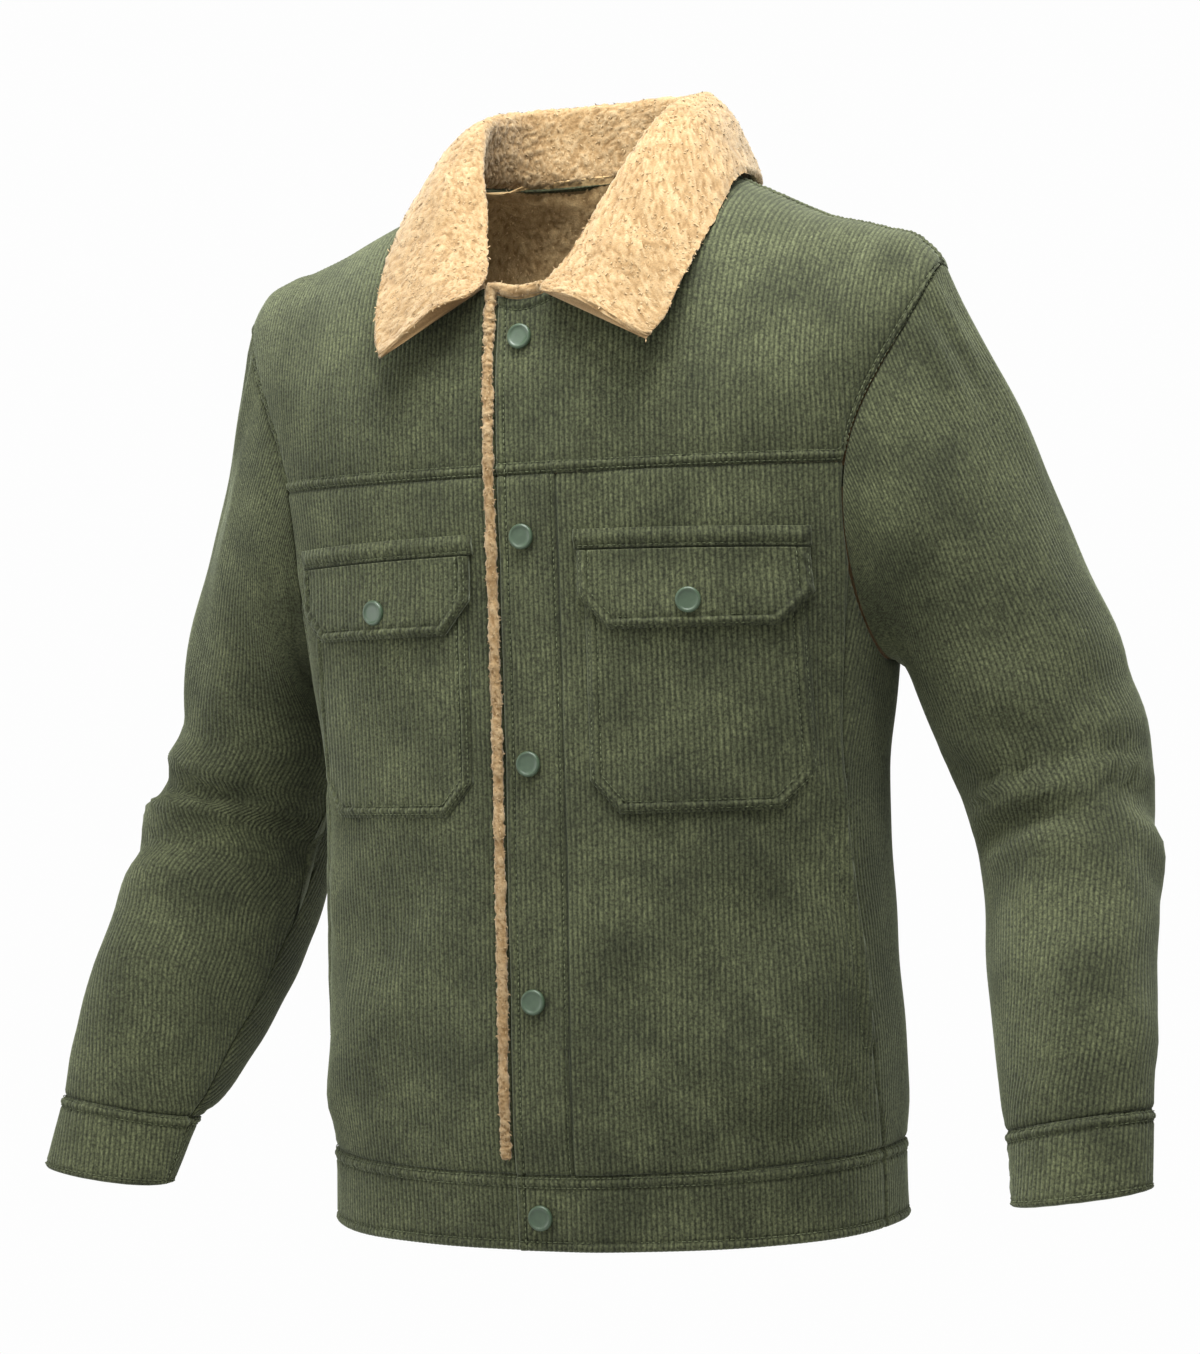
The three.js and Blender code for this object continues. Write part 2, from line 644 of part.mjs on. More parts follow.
// The fleece roll along the lap's edge and over to the collar's end.
function addEdgeRoll() {
  const { x, half_width: halfWidth, half_depth: halfDepth, bottom_level: bottom, neck_end_x: neckEnd } = EDGE_ROLL;
  const places = steps(14).map((part) => ({ x, level: lerp(bottom, NECK - 0.08, part), across: 1, up: 0 }));
  places.push({ x: x + 1.2, level: NECK + 0.12, across: 0.7, up: 0.7 });
  places.push(...steps(3).slice(1).map((part) => (
    { x: lerp(x + 4, neckEnd, part), level: NECK + 0.19, across: 0, up: 1 })));
  const rings = places.map(({ x: placeX, level, across, up }) => {
    const safe = Math.min(level, NECK);
    const { point, normal } = leftFrontPoint(turnAtX(placeX, safe), safe, halfDepth * 0.4);
    const rise = new THREE.Vector3(0, 0, Math.max(0, level - NECK) * 24);
    const width = new THREE.Vector3(across, 0, 0).addScaledVector(new THREE.Vector3(0, 0, -1), up).normalize();
    return steps(7).map((part) => {
      const angle = (-part * 7 * Math.PI) / 4;
      return point.clone().add(rise)
        .addScaledVector(width, halfWidth * Math.cos(angle))
        .addScaledVector(normal, halfDepth * Math.sin(angle));
    });
  });
  add('edge_roll', loft(rings), CREAM);
}

function collarSection(place, side) {
  const row = rowAt(COLLAR_COLUMNS, COLLAR_ROWS, place);
  const share = place / (COLLAR_ROWS.length - 1);
  const endX = side > 0 ? COLLAR.left_end_x : COLLAR.right_end_x;
  const frontTurn = turnAtX(endX, NECK);
  const turn = lerp(180, frontTurn, share);
  const { point, normal } = bodyPoint(turn, NECK);
  const seam = point.clone().addScaledVector(normal, -2).add(new THREE.Vector3(0, 0, COLLAR.seam_lift + COLLAR.thick / 2));
  const fold = new THREE.Vector3(share > 0.5 ? Math.max(row.fold_x, endX) : row.fold_x, row.fold_y, row.fold_z);
  const edge = new THREE.Vector3(row.edge_x, row.edge_y, row.edge_z);
  const outward = new THREE.Vector3(fold.x, fold.y - 10, 0).normalize();
  const belly = fold.clone().lerp(edge, 0.3).addScaledVector(outward, COLLAR.puff).add(new THREE.Vector3(0, 0, COLLAR.puff));
  const path = new THREE.CatmullRomCurve3([seam, seam.clone().lerp(fold, 0.6), fold, belly, edge], false, 'centripetal');
  const middle = path.getPoints(9);
  const plane = fold.clone().sub(seam).cross(edge.clone().sub(fold)).normalize();
  const half = COLLAR.thick / 2;
  const outerSide = [];
  const innerSide = [];
  middle.forEach((spot, index) => {
    const ahead = middle[Math.min(index + 1, middle.length - 1)];
    const behind = middle[Math.max(index - 1, 0)];
    const across = ahead.clone().sub(behind).normalize().cross(plane).normalize();
    const end = index === 0 || index === middle.length - 1 ? 0.55 : 1;
    outerSide.push(spot.clone().addScaledVector(across, half * end));
    innerSide.push(spot.clone().addScaledVector(across, -half * end));
  });
  const ring = [...outerSide, ...innerSide.reverse()].reverse();
  return ring.map((spot) => new THREE.Vector3(spot.x * side, spot.y, spot.z));
}

function addCollar() {
  const count = 11;
  const span = COLLAR_ROWS.length - 1;
  const left = steps(count).slice(1).map((part) => collarSection(part * span, 1));
  const right = steps(count).slice(1).map((part) => collarSection(part * span, -1)).reverse();
  const back = collarSection(0, 1);
  add('collar', loft([...right, back, ...left]), CREAM);
}

// The fleece inside the back of the neck, on the back's own rows and columns.
function addLining() {
  const rows = upperBackRows().filter(({ level }) => level > LINING_LOW_LEVEL);
  const grid = rows.map((row) => backRow(row).slice(1, -1)
    .map(({ turn, level }) => bodyPoint(turn, Math.min(level, NECK - 0.06), -CLOTH - LAYER_GAP)));
  add('neck_lining', wall([grid], FLEECE), CREAM);
}

addFronts();
addPlacket();
addBack();
addWaistband();
addSleeves();
addPockets();
addSnaps();
addEdgeRoll();
addCollar();
addLining();

export default jacket;
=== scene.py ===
# Corduroy jacket with a fleece collar: its looks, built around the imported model.
# Surfaces are worked out in millimetres, in the model's frame, and meshes are made in metres.
import math

import bpy
import numpy as np
from mathutils import Matrix, Vector, noise


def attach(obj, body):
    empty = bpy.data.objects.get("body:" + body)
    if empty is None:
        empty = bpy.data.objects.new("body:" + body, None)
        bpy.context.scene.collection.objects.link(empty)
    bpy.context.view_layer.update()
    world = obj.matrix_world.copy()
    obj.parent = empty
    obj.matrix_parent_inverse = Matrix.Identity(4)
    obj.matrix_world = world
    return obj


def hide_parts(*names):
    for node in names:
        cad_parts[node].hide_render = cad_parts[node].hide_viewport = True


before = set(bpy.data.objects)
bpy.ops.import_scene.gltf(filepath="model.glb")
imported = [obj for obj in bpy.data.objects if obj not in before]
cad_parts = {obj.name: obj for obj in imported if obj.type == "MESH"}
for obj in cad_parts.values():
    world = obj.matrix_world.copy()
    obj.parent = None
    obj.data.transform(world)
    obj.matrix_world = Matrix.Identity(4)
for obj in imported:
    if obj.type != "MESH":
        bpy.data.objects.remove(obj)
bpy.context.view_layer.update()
# Without a seed the noise vectors start from the clock, and the fleece differs from run to run.
noise.seed_set(1)

MM = 0.001
CLOTH = 2.4
WALE = 3.35
WALE_DEPTH = 0.62
SEAM_HALF_GAP = 0.06

# One row for each loop around the body, from the hem up to the neck seam:
# front_z, side_z, back_z, hold, half_width, front_depth, back_depth, side_y, square, pinch.
BODY_ROWS = np.array([
    [-680, -676, -680, 0, 189, 124, 112, 0, 2.35, 0],
    [-633, -626, -632, 0, 189, 125, 113, 0, 2.35, 0],
    [-590, -590, -590, 0, 191, 127, 117, 0, 2.35, 0],
    [-500, -500, -500, 0, 188, 123, 114, 0, 2.35, 0],
    [-410, -410, -410, 0, 185, 120, 113, 0, 2.35, 0],
    [-325, -325, -325, 0, 196, 118, 115, 0, 2.35, 0],
    [-203, -203, -203, 0, 215, 118, 116, 0, 2.3, 0],
    [-150, -80, -116, 0.7, 239, 117, 108, 2, 2.05, 0.14],
    [-116, -42, -44, -0.4, 162, 116, 90, 6, 2.1, 0.1],
    [-94, -4, 0, 0, 82, 117, 65, 10, 2.0, 0],
])
HEM, BAND_TOP, UNDERARM, YOKE, SHOULDER_TIP, NECK = 0, 1, 5, 6, 7, 9
ARMHOLE_TURN, ARMHOLE_HALF_TURN = 92, 33
SIDE_SEAM_STATION, SIDE_SEAM_AT_BAND, NECK_SIDE_TURN = 60, 80, 90

# One row for each ring of the left sleeve, from the underarm to the cuff's end:
# x, y, z, long, short, twist.
ARM_ROWS = np.array([
    [266, 48, -345, 74, 64, 0],
    [286, 51, -405, 72, 60, 10],
    [297, 32, -460, 72, 54, 26],
    [307, -6, -520, 66, 49, 32],
    [319, -46, -578, 56, 44, 40],
    [324, -61, -602, 49, 39, 55],
    [330, -84, -645, 45, 32, 72],
])
CUFF_TOP, CUFF_END = 6, 7
CUFF_LEVELLING, LEVELLING_FROM, LEVELLING_TO = 0.5, 4, 6.5

# Folds: turn_1, level_1, turn_2, level_2, width, height.
BODY_FOLDS = [
    [34, 1.9, 68, 3.1, 28, 4.0], [22, 2.6, 60, 3.7, 26, -3.0], [44, 1.3, 74, 2.2, 22, -2.5],
    [-66, 1.6, -34, 2.9, 26, 3.5], [-60, 2.7, -26, 3.6, 26, -2.5], [128, 4.6, 150, 2.4, 28, 4.0],
    [232, 4.6, 210, 2.4, 28, 4.0], [150, 5.4, 210, 5.4, 34, -3.0], [140, 1.6, 175, 2.4, 26, -3.0],
    [220, 1.5, 190, 2.2, 26, -3.0],
]
LEFT_SLEEVE_FOLDS = [
    [150, 0.55, 215, 0.95, 55, 4.0], [150, 0.45, 215, 0.62, 20, 4.0], [140, 0.64, 225, 0.82, 18, -3.5],
    [120, 0.88, 205, 1.06, 18, 4.5], [110, 1.16, 210, 1.34, 18, -4.0], [150, 1.55, 240, 1.70, 20, 4.0],
    [30, 1.70, 130, 2.05, 17, -4.5], [20, 2.16, 150, 2.48, 18, 5.0], [40, 2.66, 170, 2.92, 17, -4.5],
    [150, 3.05, 240, 3.25, 18, 3.5], [60, 3.50, 140, 3.66, 17, -3.0], [20, 4.10, 120, 4.30, 16, 3.0],
    [200, 4.40, 300, 4.50, 16, -2.5],
]
RIGHT_SLEEVE_FOLDS = [
    [170, 0.20, 215, 0.60, 50, 3.0], [165, 0.80, 195, 1.70, 60, -9.0],
    [120, 0.50, 200, 0.66, 19, -4.0], [130, 0.78, 215, 0.95, 19, 3.5],
    [60, 1.05, 150, 1.30, 18, -4.0], [70, 1.50, 170, 1.72, 18, 4.0], [60, 1.95, 170, 2.15, 17, -4.5],
    [60, 2.38, 180, 2.58, 18, 5.5], [70, 2.82, 190, 3.02, 17, -4.5], [40, 3.34, 130, 3.50, 17, 3.5],
    [160, 3.70, 250, 3.85, 17, -3.0], [40, 4.20, 150, 4.35, 16, 3.0],
]
# Finer creases that only the cloth shows, in the same columns.
BODY_CREASES = [
    [40, 4.2, 64, 3.2, 11, -2.4], [46, 4.6, 70, 3.8, 10, 2.0], [24, 2.3, 50, 1.4, 12, -2.4],
    [10, 3.5, 40, 2.2, 13, 2.6], [16, 4.2, 50, 2.9, 11, -2.4], [50, 2.5, 72, 1.7, 10, -2.2],
    [14, 2.5, 36, 1.5, 10, 2.0], [56, 5.2, 66, 4.3, 9, -2.4], [60, 4.9, 70, 4.0, 8, 2.2],
    [34, 3.0, 60, 1.9, 10, 2.4], [42, 3.6, 66, 2.6, 9, -2.2], [-40, 2.2, -20, 1.5, 12, -1.8],
    [-64, 3.6, -44, 2.6, 11, 2.0], [-20, 3.6, -40, 2.8, 13, -1.8], [-58, 4.7, -40, 3.9, 10, -2.0],
    [110, 4.4, 126, 3.0, 11, -2.0], [250, 4.4, 234, 3.0, 11, -2.0], [150, 2.9, 196, 2.2, 13, 1.8],
    [165, 1.7, 215, 1.5, 10, -1.8], [132, 5.0, 160, 4.2, 12, 2.0], [228, 5.0, 200, 4.2, 12, 2.0],
]
LEFT_SLEEVE_CREASES = [
    [60, 0.50, 120, 0.95, 12, -2.2], [70, 0.95, 140, 1.25, 11, 2.0], [20, 1.30, 80, 1.80, 11, -3.1],
    [50, 1.12, 110, 1.42, 11, -2.4], [150, 0.50, 200, 0.62, 12, -2.7], [150, 0.72, 205, 0.80, 11, -2.5],
    [40, 1.62, 130, 1.90, 9, 3.4], [60, 1.80, 175, 2.00, 9, -3.9], [50, 2.02, 190, 2.22, 9, 3.7],
    [40, 2.26, 200, 2.36, 8, -4.8], [20, 2.46, 110, 2.56, 9, 3.4], [110, 2.56, 215, 2.62, 9, -3.7],
    [30, 2.74, 110, 2.86, 9, -3.4], [30, 3.02, 110, 3.16, 11, 2.4], [120, 2.84, 210, 2.92, 11, 2.5],
    [120, 3.24, 210, 3.36, 11, -1.9], [60, 3.90, 130, 4.02, 12, -1.7], [130, 4.70, 220, 4.82, 12, 1.5],
    [40, 5.10, 120, 5.22, 12, -1.5], [190, 1.40, 280, 1.52, 11, 2.2], [210, 2.30, 300, 2.42, 11, -2.5],
]
RIGHT_SLEEVE_CREASES = [
    [60, 0.60, 130, 0.95, 12, -2.2], [40, 0.90, 120, 1.12, 11, 2.2], [80, 1.28, 150, 1.42, 11, -2.7],
    [60, 1.50, 150, 1.62, 11, 2.7], [40, 1.75, 120, 1.88, 11, -2.7], [90, 1.92, 150, 2.02, 9, 1.9],
    [60, 2.10, 150, 2.24, 9, -2.3], [50, 2.34, 150, 2.42, 9, 2.0], [60, 2.56, 150, 2.66, 9, -2.2],
    [90, 2.78, 150, 2.88, 11, 3.1], [50, 2.98, 150, 3.10, 11, -2.5], [50, 3.62, 150, 3.75, 12, -1.7],
    [70, 4.55, 150, 4.70, 12, 1.5], [200, 1.60, 290, 1.72, 11, -2.0], [210, 2.45, 300, 2.58, 11, 2.2],
    [120, 0.36, 150, 0.46, 12, -2.2], [30, 5.10, 130, 5.20, 12, -1.4],
]
BODY_SCALE = (165, 90)
ARM_SCALE = (62, 62)

PLACKET_EDGE_X, PLACKET_SEAM_X, UNDER_LAP_X = -16, 23, 18
LAP_LIFT, LAP_END_X = 2.8, 70
SNAP_X, SNAP_HEIGHTS = 0.5, (-118, -241, -381, -527, -659)
FLAP_SNAP = (104, -283)

COLLAR_ROWS = np.array([
    [0, 81, 49, 0, 111, -25], [42, 75, 48, 58, 102, -23], [66, 47, 44, 92, 70, -17],
    [70, 15, 37, 107, 23, -12], [66, -14, 27, 112, -20, -19], [56, -42, 2, 112, -60, -48],
    [41, -74, -40, 105, -95, -83], [29, -103, -75, 98, -116, -112], [20, -123, -91, 90, -127, -126],
])
COLLAR_HALF, COLLAR_PUFF, COLLAR_LIFT = 4.5, 5, 1.0
COLLAR_END_X = {1: 20, -1: 28}


def smooth(value, low, high):
    part = np.clip((value - low) / (high - low), 0, 1)
    return part * part * (3 - 2 * part)


def between(value, start, full, fading, end):
    """1 from full to fading, and 0 before start and past end."""
    return smooth(value, start, full) * (1 - smooth(value, fading, end))


def lerp(first, second, part):
    return first + (second - first) * part


def unit(vectors):
    return vectors / np.maximum(np.linalg.norm(vectors, axis=-1, keepdims=True), 1e-9)


def hermite(here, slope_in, there, slope_out, part):
    """A point between two others on a smooth curve with the given slopes at them."""
    square, cube = part ** 2, part ** 3
    return (here * (2 * cube - 3 * square + 1) + slope_in * (cube - 2 * square + part)
            + there * (3 * square - 2 * cube) + slope_out * (cube - square))


def lengths_along(points):
    """Length walked along each run of points, 0 at its start."""
    steps = np.linalg.norm(np.diff(points, axis=-2), axis=-1)
    return np.concatenate([np.zeros(steps.shape[:-1] + (1,)), np.cumsum(steps, axis=-1)], axis=-1)


def paired(first, second):
    return np.broadcast_arrays(np.asarray(first, float), np.asarray(second, float))


def curve_through(rows, place):
    """The rows read between, on a smooth curve through them."""
    last = len(rows) - 1
    start = np.clip(np.floor(place).astype(int), 0, last - 1)
    part = (place - start)[..., None]
    here, there = rows[start], rows[start + 1]
    slope_in = np.where((start == 0)[..., None], there - here, (there - rows[np.maximum(start - 1, 0)]) / 2)
    beyond = rows[np.minimum(start + 2, last)]
    slope_out = np.where((start + 1 == last)[..., None], there - here, (beyond - here) / 2)
    return hermite(here, slope_in, there, slope_out, part)


def fold_height(folds, turn, level, scale):
    """Height of a set of folds; folds near the start of the turn count at its end too."""
    height = np.zeros(np.broadcast(turn, level).shape)
    across = math.radians(1) * scale[0]
    for turn_1, level_1, turn_2, level_2, width, rise in folds:
        run = np.array([(turn_2 - turn_1) * across, (level_2 - level_1) * scale[1]])
        length = np.linalg.norm(run)
        for lap in (-360, 0, 360):
            from_x = (turn + lap - turn_1) * across
            from_y = (level - level_1) * scale[1]
            along = (from_x * run[0] + from_y * run[1]) / length ** 2
            aside = (from_x * run[1] - from_y * run[0]) / length
            ends = between(along, -0.15, 0.3, 0.7, 1.15)
            height += rise * ends * np.exp(-(aside / width) ** 2)
    return height


def body_base(turn, level):
    """Points of the plain body; turn is 0 in front and goes round over the wearer's left."""
    turn, level = paired(turn, level)
    row = np.moveaxis(curve_through(BODY_ROWS, level), -1, 0)
    front_z, side_z, back_z, hold, half_width, front_depth, back_depth, side_y, square, pinch = row
    across, ahead = np.sin(np.radians(turn)), np.cos(np.radians(turn))
    rounding = (np.abs(across) ** square + np.abs(ahead) ** square) ** (-1 / square)
    depth = np.where(ahead > 0, front_depth, back_depth) * (1 - pinch * across ** 4)
    end_z = np.where(ahead > 0, front_z, back_z)
    height = side_z + (end_z - side_z) * ahead ** 2 * (1 + hold * across ** 2)
    return np.stack([half_width * across * rounding, side_y - depth * ahead * rounding, height], -1)


def table_normals(table):
    """Normals of a table of points whose rows go up and whose columns go around."""
    return unit(np.cross(np.gradient(table, axis=1), np.gradient(table, axis=0)))


def cubic_weights(part):
    square, cube = part ** 2, part ** 3
    return [-0.5 * cube + square - 0.5 * part, 1.5 * cube - 2.5 * square + 1,
            -1.5 * cube + 2 * square + 0.5 * part, 0.5 * cube - 0.5 * square]


def look_up(table, row_place, column_place):
    """A regular table read smoothly between its rows and columns."""
    row_place, column_place = np.broadcast_arrays(row_place, column_place)
    rows, columns = table.shape[:2]
    row = np.clip(np.floor(row_place).astype(int), 0, rows - 2)
    column = np.clip(np.floor(column_place).astype(int), 0, columns - 2)
    result = 0
    for i, row_weight in enumerate(cubic_weights(row_place - row)):
        for j, column_weight in enumerate(cubic_weights(column_place - column)):
            values = table[np.clip(row + i - 1, 0, rows - 1), np.clip(column + j - 1, 0, columns - 1)]
            result = result + (row_weight * column_weight)[..., None] * values
    return result


TURN_STEP, LEVEL_STEP, TURN_FROM = 1.5, 0.05, -186
TURNS = np.arange(TURN_FROM, 186.1, TURN_STEP)[None, :]
LEVELS = np.linspace(HEM, NECK, 181)[:, None]


def body_table():
    base = body_base(TURNS, LEVELS)
    calm = between(LEVELS, BAND_TOP, BAND_TOP + 0.5, UNDERARM + 0.7, YOKE)
    height = fold_height(BODY_FOLDS, TURNS, LEVELS, BODY_SCALE) * calm
    return base + table_normals(base) * height[..., None]


BODY = body_table()
BODY_NORMALS = table_normals(BODY)


def lap_lift(x):
    """How far the lapped front stands off the body, x from the middle."""
    return LAP_LIFT * (1 - smooth(x, PLACKET_SEAM_X, LAP_END_X))


def body_point(turn, level, lift=0.0, lapped=False):
    """Points on the body's outside and their normals; lapped is for the front that lies on top."""
    place = ((np.asarray(turn, float) + 180) % 360 - 180 - TURN_FROM) / TURN_STEP
    point = look_up(BODY, np.asarray(level, float) / LEVEL_STEP, place)
    normal = unit(look_up(BODY_NORMALS, np.asarray(level, float) / LEVEL_STEP, place))
    if lapped:
        lift = lift + lap_lift(point[..., 0])
    return point + normal * np.asarray(lift, float)[..., None], normal


def solve(is_high, low, high):
    """Where is_high turns true between low and high, for arrays of both."""
    for _ in range(32):
        middle = (low + high) / 2
        above = is_high(middle)
        high = np.where(above, middle, high)
        low = np.where(above, low, middle)
    return (low + high) / 2


def turn_at_x(x, level):
    """Turn at which the front of a loop reaches a distance from the middle."""
    x, level = paired(x, level)
    start, end = np.zeros(x.shape), np.full(x.shape, 89.0)
    return np.sign(x) * solve(lambda value: body_base(value, level)[..., 0] > np.abs(x), start, end)


def place_on_front(x, z):
    levels = np.linspace(HEM, NECK, 901)
    level = np.interp(z, body_base(0, levels)[:, 2], levels)
    return turn_at_x(x, level), level


def armhole(station):
    """Turn and level of the armhole's edge: station 0 is the underarm, 90 the front and 180 the top."""
    angle = np.radians(station)
    return ARMHOLE_TURN - ARMHOLE_HALF_TURN * np.sin(angle), (UNDERARM + SHOULDER_TIP) / 2 - np.cos(angle)


# Spacing of the distances at which the tables of wale lines are read.
REACH_STEP = 2.0


class Half:
    """Wale lines on one half of the body, counted out from its middle line to the side.

    Up to the yoke's level a line keeps its distance along the loop, and above it goes straight up."""

    def __init__(self, middle, side, armhole_turn):
        self.middle = middle
        self.turns = np.linspace(middle, side, 251)
        levels = np.linspace(HEM, YOKE, 121)
        loops = body_base(self.turns[None, :], levels[:, None])
        self.arcs = lengths_along(loops)
        reach = np.arange(0, self.arcs.max(), REACH_STEP)
        self.turn_of = np.array([np.interp(reach, row, self.turns) for row in self.arcs])
        inside = np.abs(self.turns - middle) <= abs(armhole_turn - middle)
        self.high_u = np.append(self.arcs[-1][inside], self.arcs[-1][inside][-1] + 120)
        self.high_x = np.append(loops[-1, inside, 0], loops[-1, inside, 0][-1] + 96)

    def turn_at(self, u, level):
        u, level = paired(u, level)
        low = look_up(self.turn_of[..., None], np.minimum(level, YOKE) / LEVEL_STEP, u / REACH_STEP)[..., 0]
        x = np.interp(u, self.high_u, self.high_x)
        start = np.full(u.shape, float(self.middle))
        high = solve(lambda value: body_base(value, level)[..., 0] > x, start, np.full(u.shape, 90.0))
        return np.where(level > YOKE, high, low)

    def distance(self, turn, level):
        """Distance out from the middle at which a place on the body lies."""
        place = (turn - self.middle) / (self.turns[1] - self.turns[0])
        low = look_up(self.arcs[..., None], np.minimum(level, YOKE) / LEVEL_STEP, place)[..., 0]
        high = np.interp(body_base(turn, level)[..., 0], self.high_x, self.high_u)
        return np.where(level > YOKE, high, low)


FRONT = Half(0, 98, ARMHOLE_TURN - ARMHOLE_HALF_TURN)
BACK = Half(180, 55, ARMHOLE_TURN + ARMHOLE_HALF_TURN)


def side_seam(part):
    """Turn and level along the side seam, from the waistband up to the armhole."""
    top_turn, top_level = armhole(SIDE_SEAM_STATION)
    return lerp(SIDE_SEAM_AT_BAND, top_turn, part), lerp(BAND_TOP, top_level, part)


def edge_levels(half, curve):
    """Level of a panel's edge for each distance out, from the edge's (turn, level) places."""
    turn, level = curve
    distance = half.distance(turn, level)
    order = np.argsort(distance)
    return lambda u: np.interp(np.abs(u), distance[order], level[order])


def joined(*curves):
    """One (turn, level) curve out of several."""
    return tuple(np.concatenate([np.atleast_1d(curve[axis]).astype(float) for curve in curves])
                 for axis in (0, 1))


def armhole_run(first, last):
    return armhole(np.linspace(first, last, 60))


def limit_of(half, curve):
    """How far out from the middle a panel reaches at each level."""
    turn, level = curve
    distance = half.distance(turn, level)
    order = np.argsort(level)
    return lambda at: np.interp(at, level[order], distance[order])


SEAM_PART = np.linspace(0, 1, 60)
SHOULDER_SEAM = (lerp(ARMHOLE_TURN, NECK_SIDE_TURN, SEAM_PART), lerp(SHOULDER_TIP, NECK, SEAM_PART))
BAND_SIDE = (np.full(6, float(SIDE_SEAM_AT_BAND)), np.linspace(HEM, BAND_TOP, 7)[:6])
FRONT_LIMIT = limit_of(FRONT, joined(BAND_SIDE, side_seam(SEAM_PART), armhole_run(60, 90)))
BACK_LIMIT = limit_of(BACK, joined(BAND_SIDE, side_seam(SEAM_PART)))
BACK_HOLE = float(BACK.distance(np.array(float(ARMHOLE_TURN + ARMHOLE_HALF_TURN)), np.array(float(YOKE))))
FRONT_YOKE_LOW = edge_levels(FRONT, joined((0, YOKE + 1e-6), armhole_run(90, 176)))
BACK_YOKE_LOW = edge_levels(BACK, joined((180, YOKE + 1e-6), armhole_run(-90, -180)))
FRONT_YOKE_TOP = edge_levels(FRONT, joined((0, NECK), SHOULDER_SEAM))
BACK_YOKE_TOP = edge_levels(BACK, joined((180, NECK), SHOULDER_SEAM))


def back_top(u):
    """Level at which the back's lower part ends: the yoke's level, and beyond it the armhole."""
    turn, level = armhole_run(-90, 60)
    distance = np.maximum(BACK.distance(turn, level), BACK_HOLE)
    return np.where(np.abs(u) < BACK_HOLE + 1e-6, float(YOKE), np.interp(np.abs(u), distance, level))


def back_bend(reach, level):
    """How far the back's wale lines give way to the armhole's rear edge where it comes inward."""
    turn, at = armhole_run(0, -90)
    inward = np.maximum(0, BACK_HOLE - BACK.distance(turn, at))
    near = smooth(reach, BACK_HOLE - 60, BACK_HOLE)
    return np.interp(level, at, inward, left=0, right=0) * near


def wale_lines(start, end, extra=()):
    """Distances at which a panel has its columns: four to a wale, and both of its edges."""
    first, last = math.floor(start / WALE), math.ceil(end / WALE)
    shares = np.array([0, 0.22, 0.5, 0.78])
    places = ((np.arange(first, last + 1)[:, None] + shares[None, :]) * WALE).ravel()
    places = places[(places > start + 0.3) & (places < end - 0.3)]
    for place in extra:
        places = places[np.abs(places - place) > 0.3]
    return np.sort(np.concatenate([[start], places, [end], list(extra)]))


def groove_at(u):
    """0 on the crown of a wale and 1 in the groove between two."""
    return np.abs(np.cos(np.pi * u / WALE)) ** 3


SEWN_ROWS = np.array([SEAM_HALF_GAP, 1.0, 1.9, 3.2, 4.6, 5.8, 6.8, 7.9, 9.8])
PLAIN_ROWS = np.array([SEAM_HALF_GAP, 1.2, 3.2, 7.0])


def row_distances(length, middle_rows, low_rows, high_rows):
    """Distances down each column at which a panel has its rows, close together at its edges."""
    fit = np.minimum(1, length / (low_rows[-1] + high_rows[-1] + 3))[:, None]
    low = low_rows[None, :] * fit
    high = length[:, None] - (high_rows[None, :] * fit)[:, ::-1]
    share = np.linspace(0, 1, middle_rows + 2)[None, 1:-1]
    middle = lerp(low[:, -1:], high[:, :1], share)
    return np.concatenate([low, middle, high], axis=1)


def columns_along(turn_path, level_path, point_path, middle_rows, low_rows=SEWN_ROWS, high_rows=SEWN_ROWS):
    """Places of a panel's rows on columns that are given as (column, sample) paths."""
    lengths = lengths_along(point_path)
    rows = row_distances(lengths[:, -1], middle_rows, low_rows, high_rows)
    turn, level = (np.array([np.interp(*column) for column in zip(rows, lengths, paths)])
                   for paths in (turn_path, level_path))
    return turn, level, rows, lengths[:, -1]


def edge_relief(distance, along, lines):
    """Roll of a seam edge, the channels of its stitch lines, and the painted shade in the seam's crevice and
    in those channels.
    """
    roll = np.exp(-(distance / 1.3) ** 2)
    relief, seam_channel_shade = -1.3 * roll, 0.9 * roll
    start = lines[0] if len(lines) > 1 else 0
    for line in lines:
        channel = np.exp(-((distance - line) / 1.0) ** 2)
        ripple = np.sin(along * 0.62 + 1.3 * np.sin(along * 0.13)) * 0.3
        relief = relief - 0.75 * channel + ripple * np.exp(-((distance - line) / 4.5) ** 2)
        seam_channel_shade = np.maximum(seam_channel_shade, 0.85 * channel)
    if lines:
        across = np.clip((distance - start) / (lines[-1] - start), 0, 1)
        relief = relief + 0.9 * np.sin(np.pi * across)
    return relief, seam_channel_shade


def drift(first, second, seed):
    """Slow unevenness of the cloth over a panel."""
    phases = np.random.default_rng(seed).uniform(0, 6.28, 8)
    waves = [(0.050, 0.021), (-0.034, 0.047), (0.083, -0.036), (0.017, 0.095)]
    total = 0
    for index, (across, along) in enumerate(waves):
        total = total + np.sin(first * across + second * along + phases[index])
    return total * 0.28


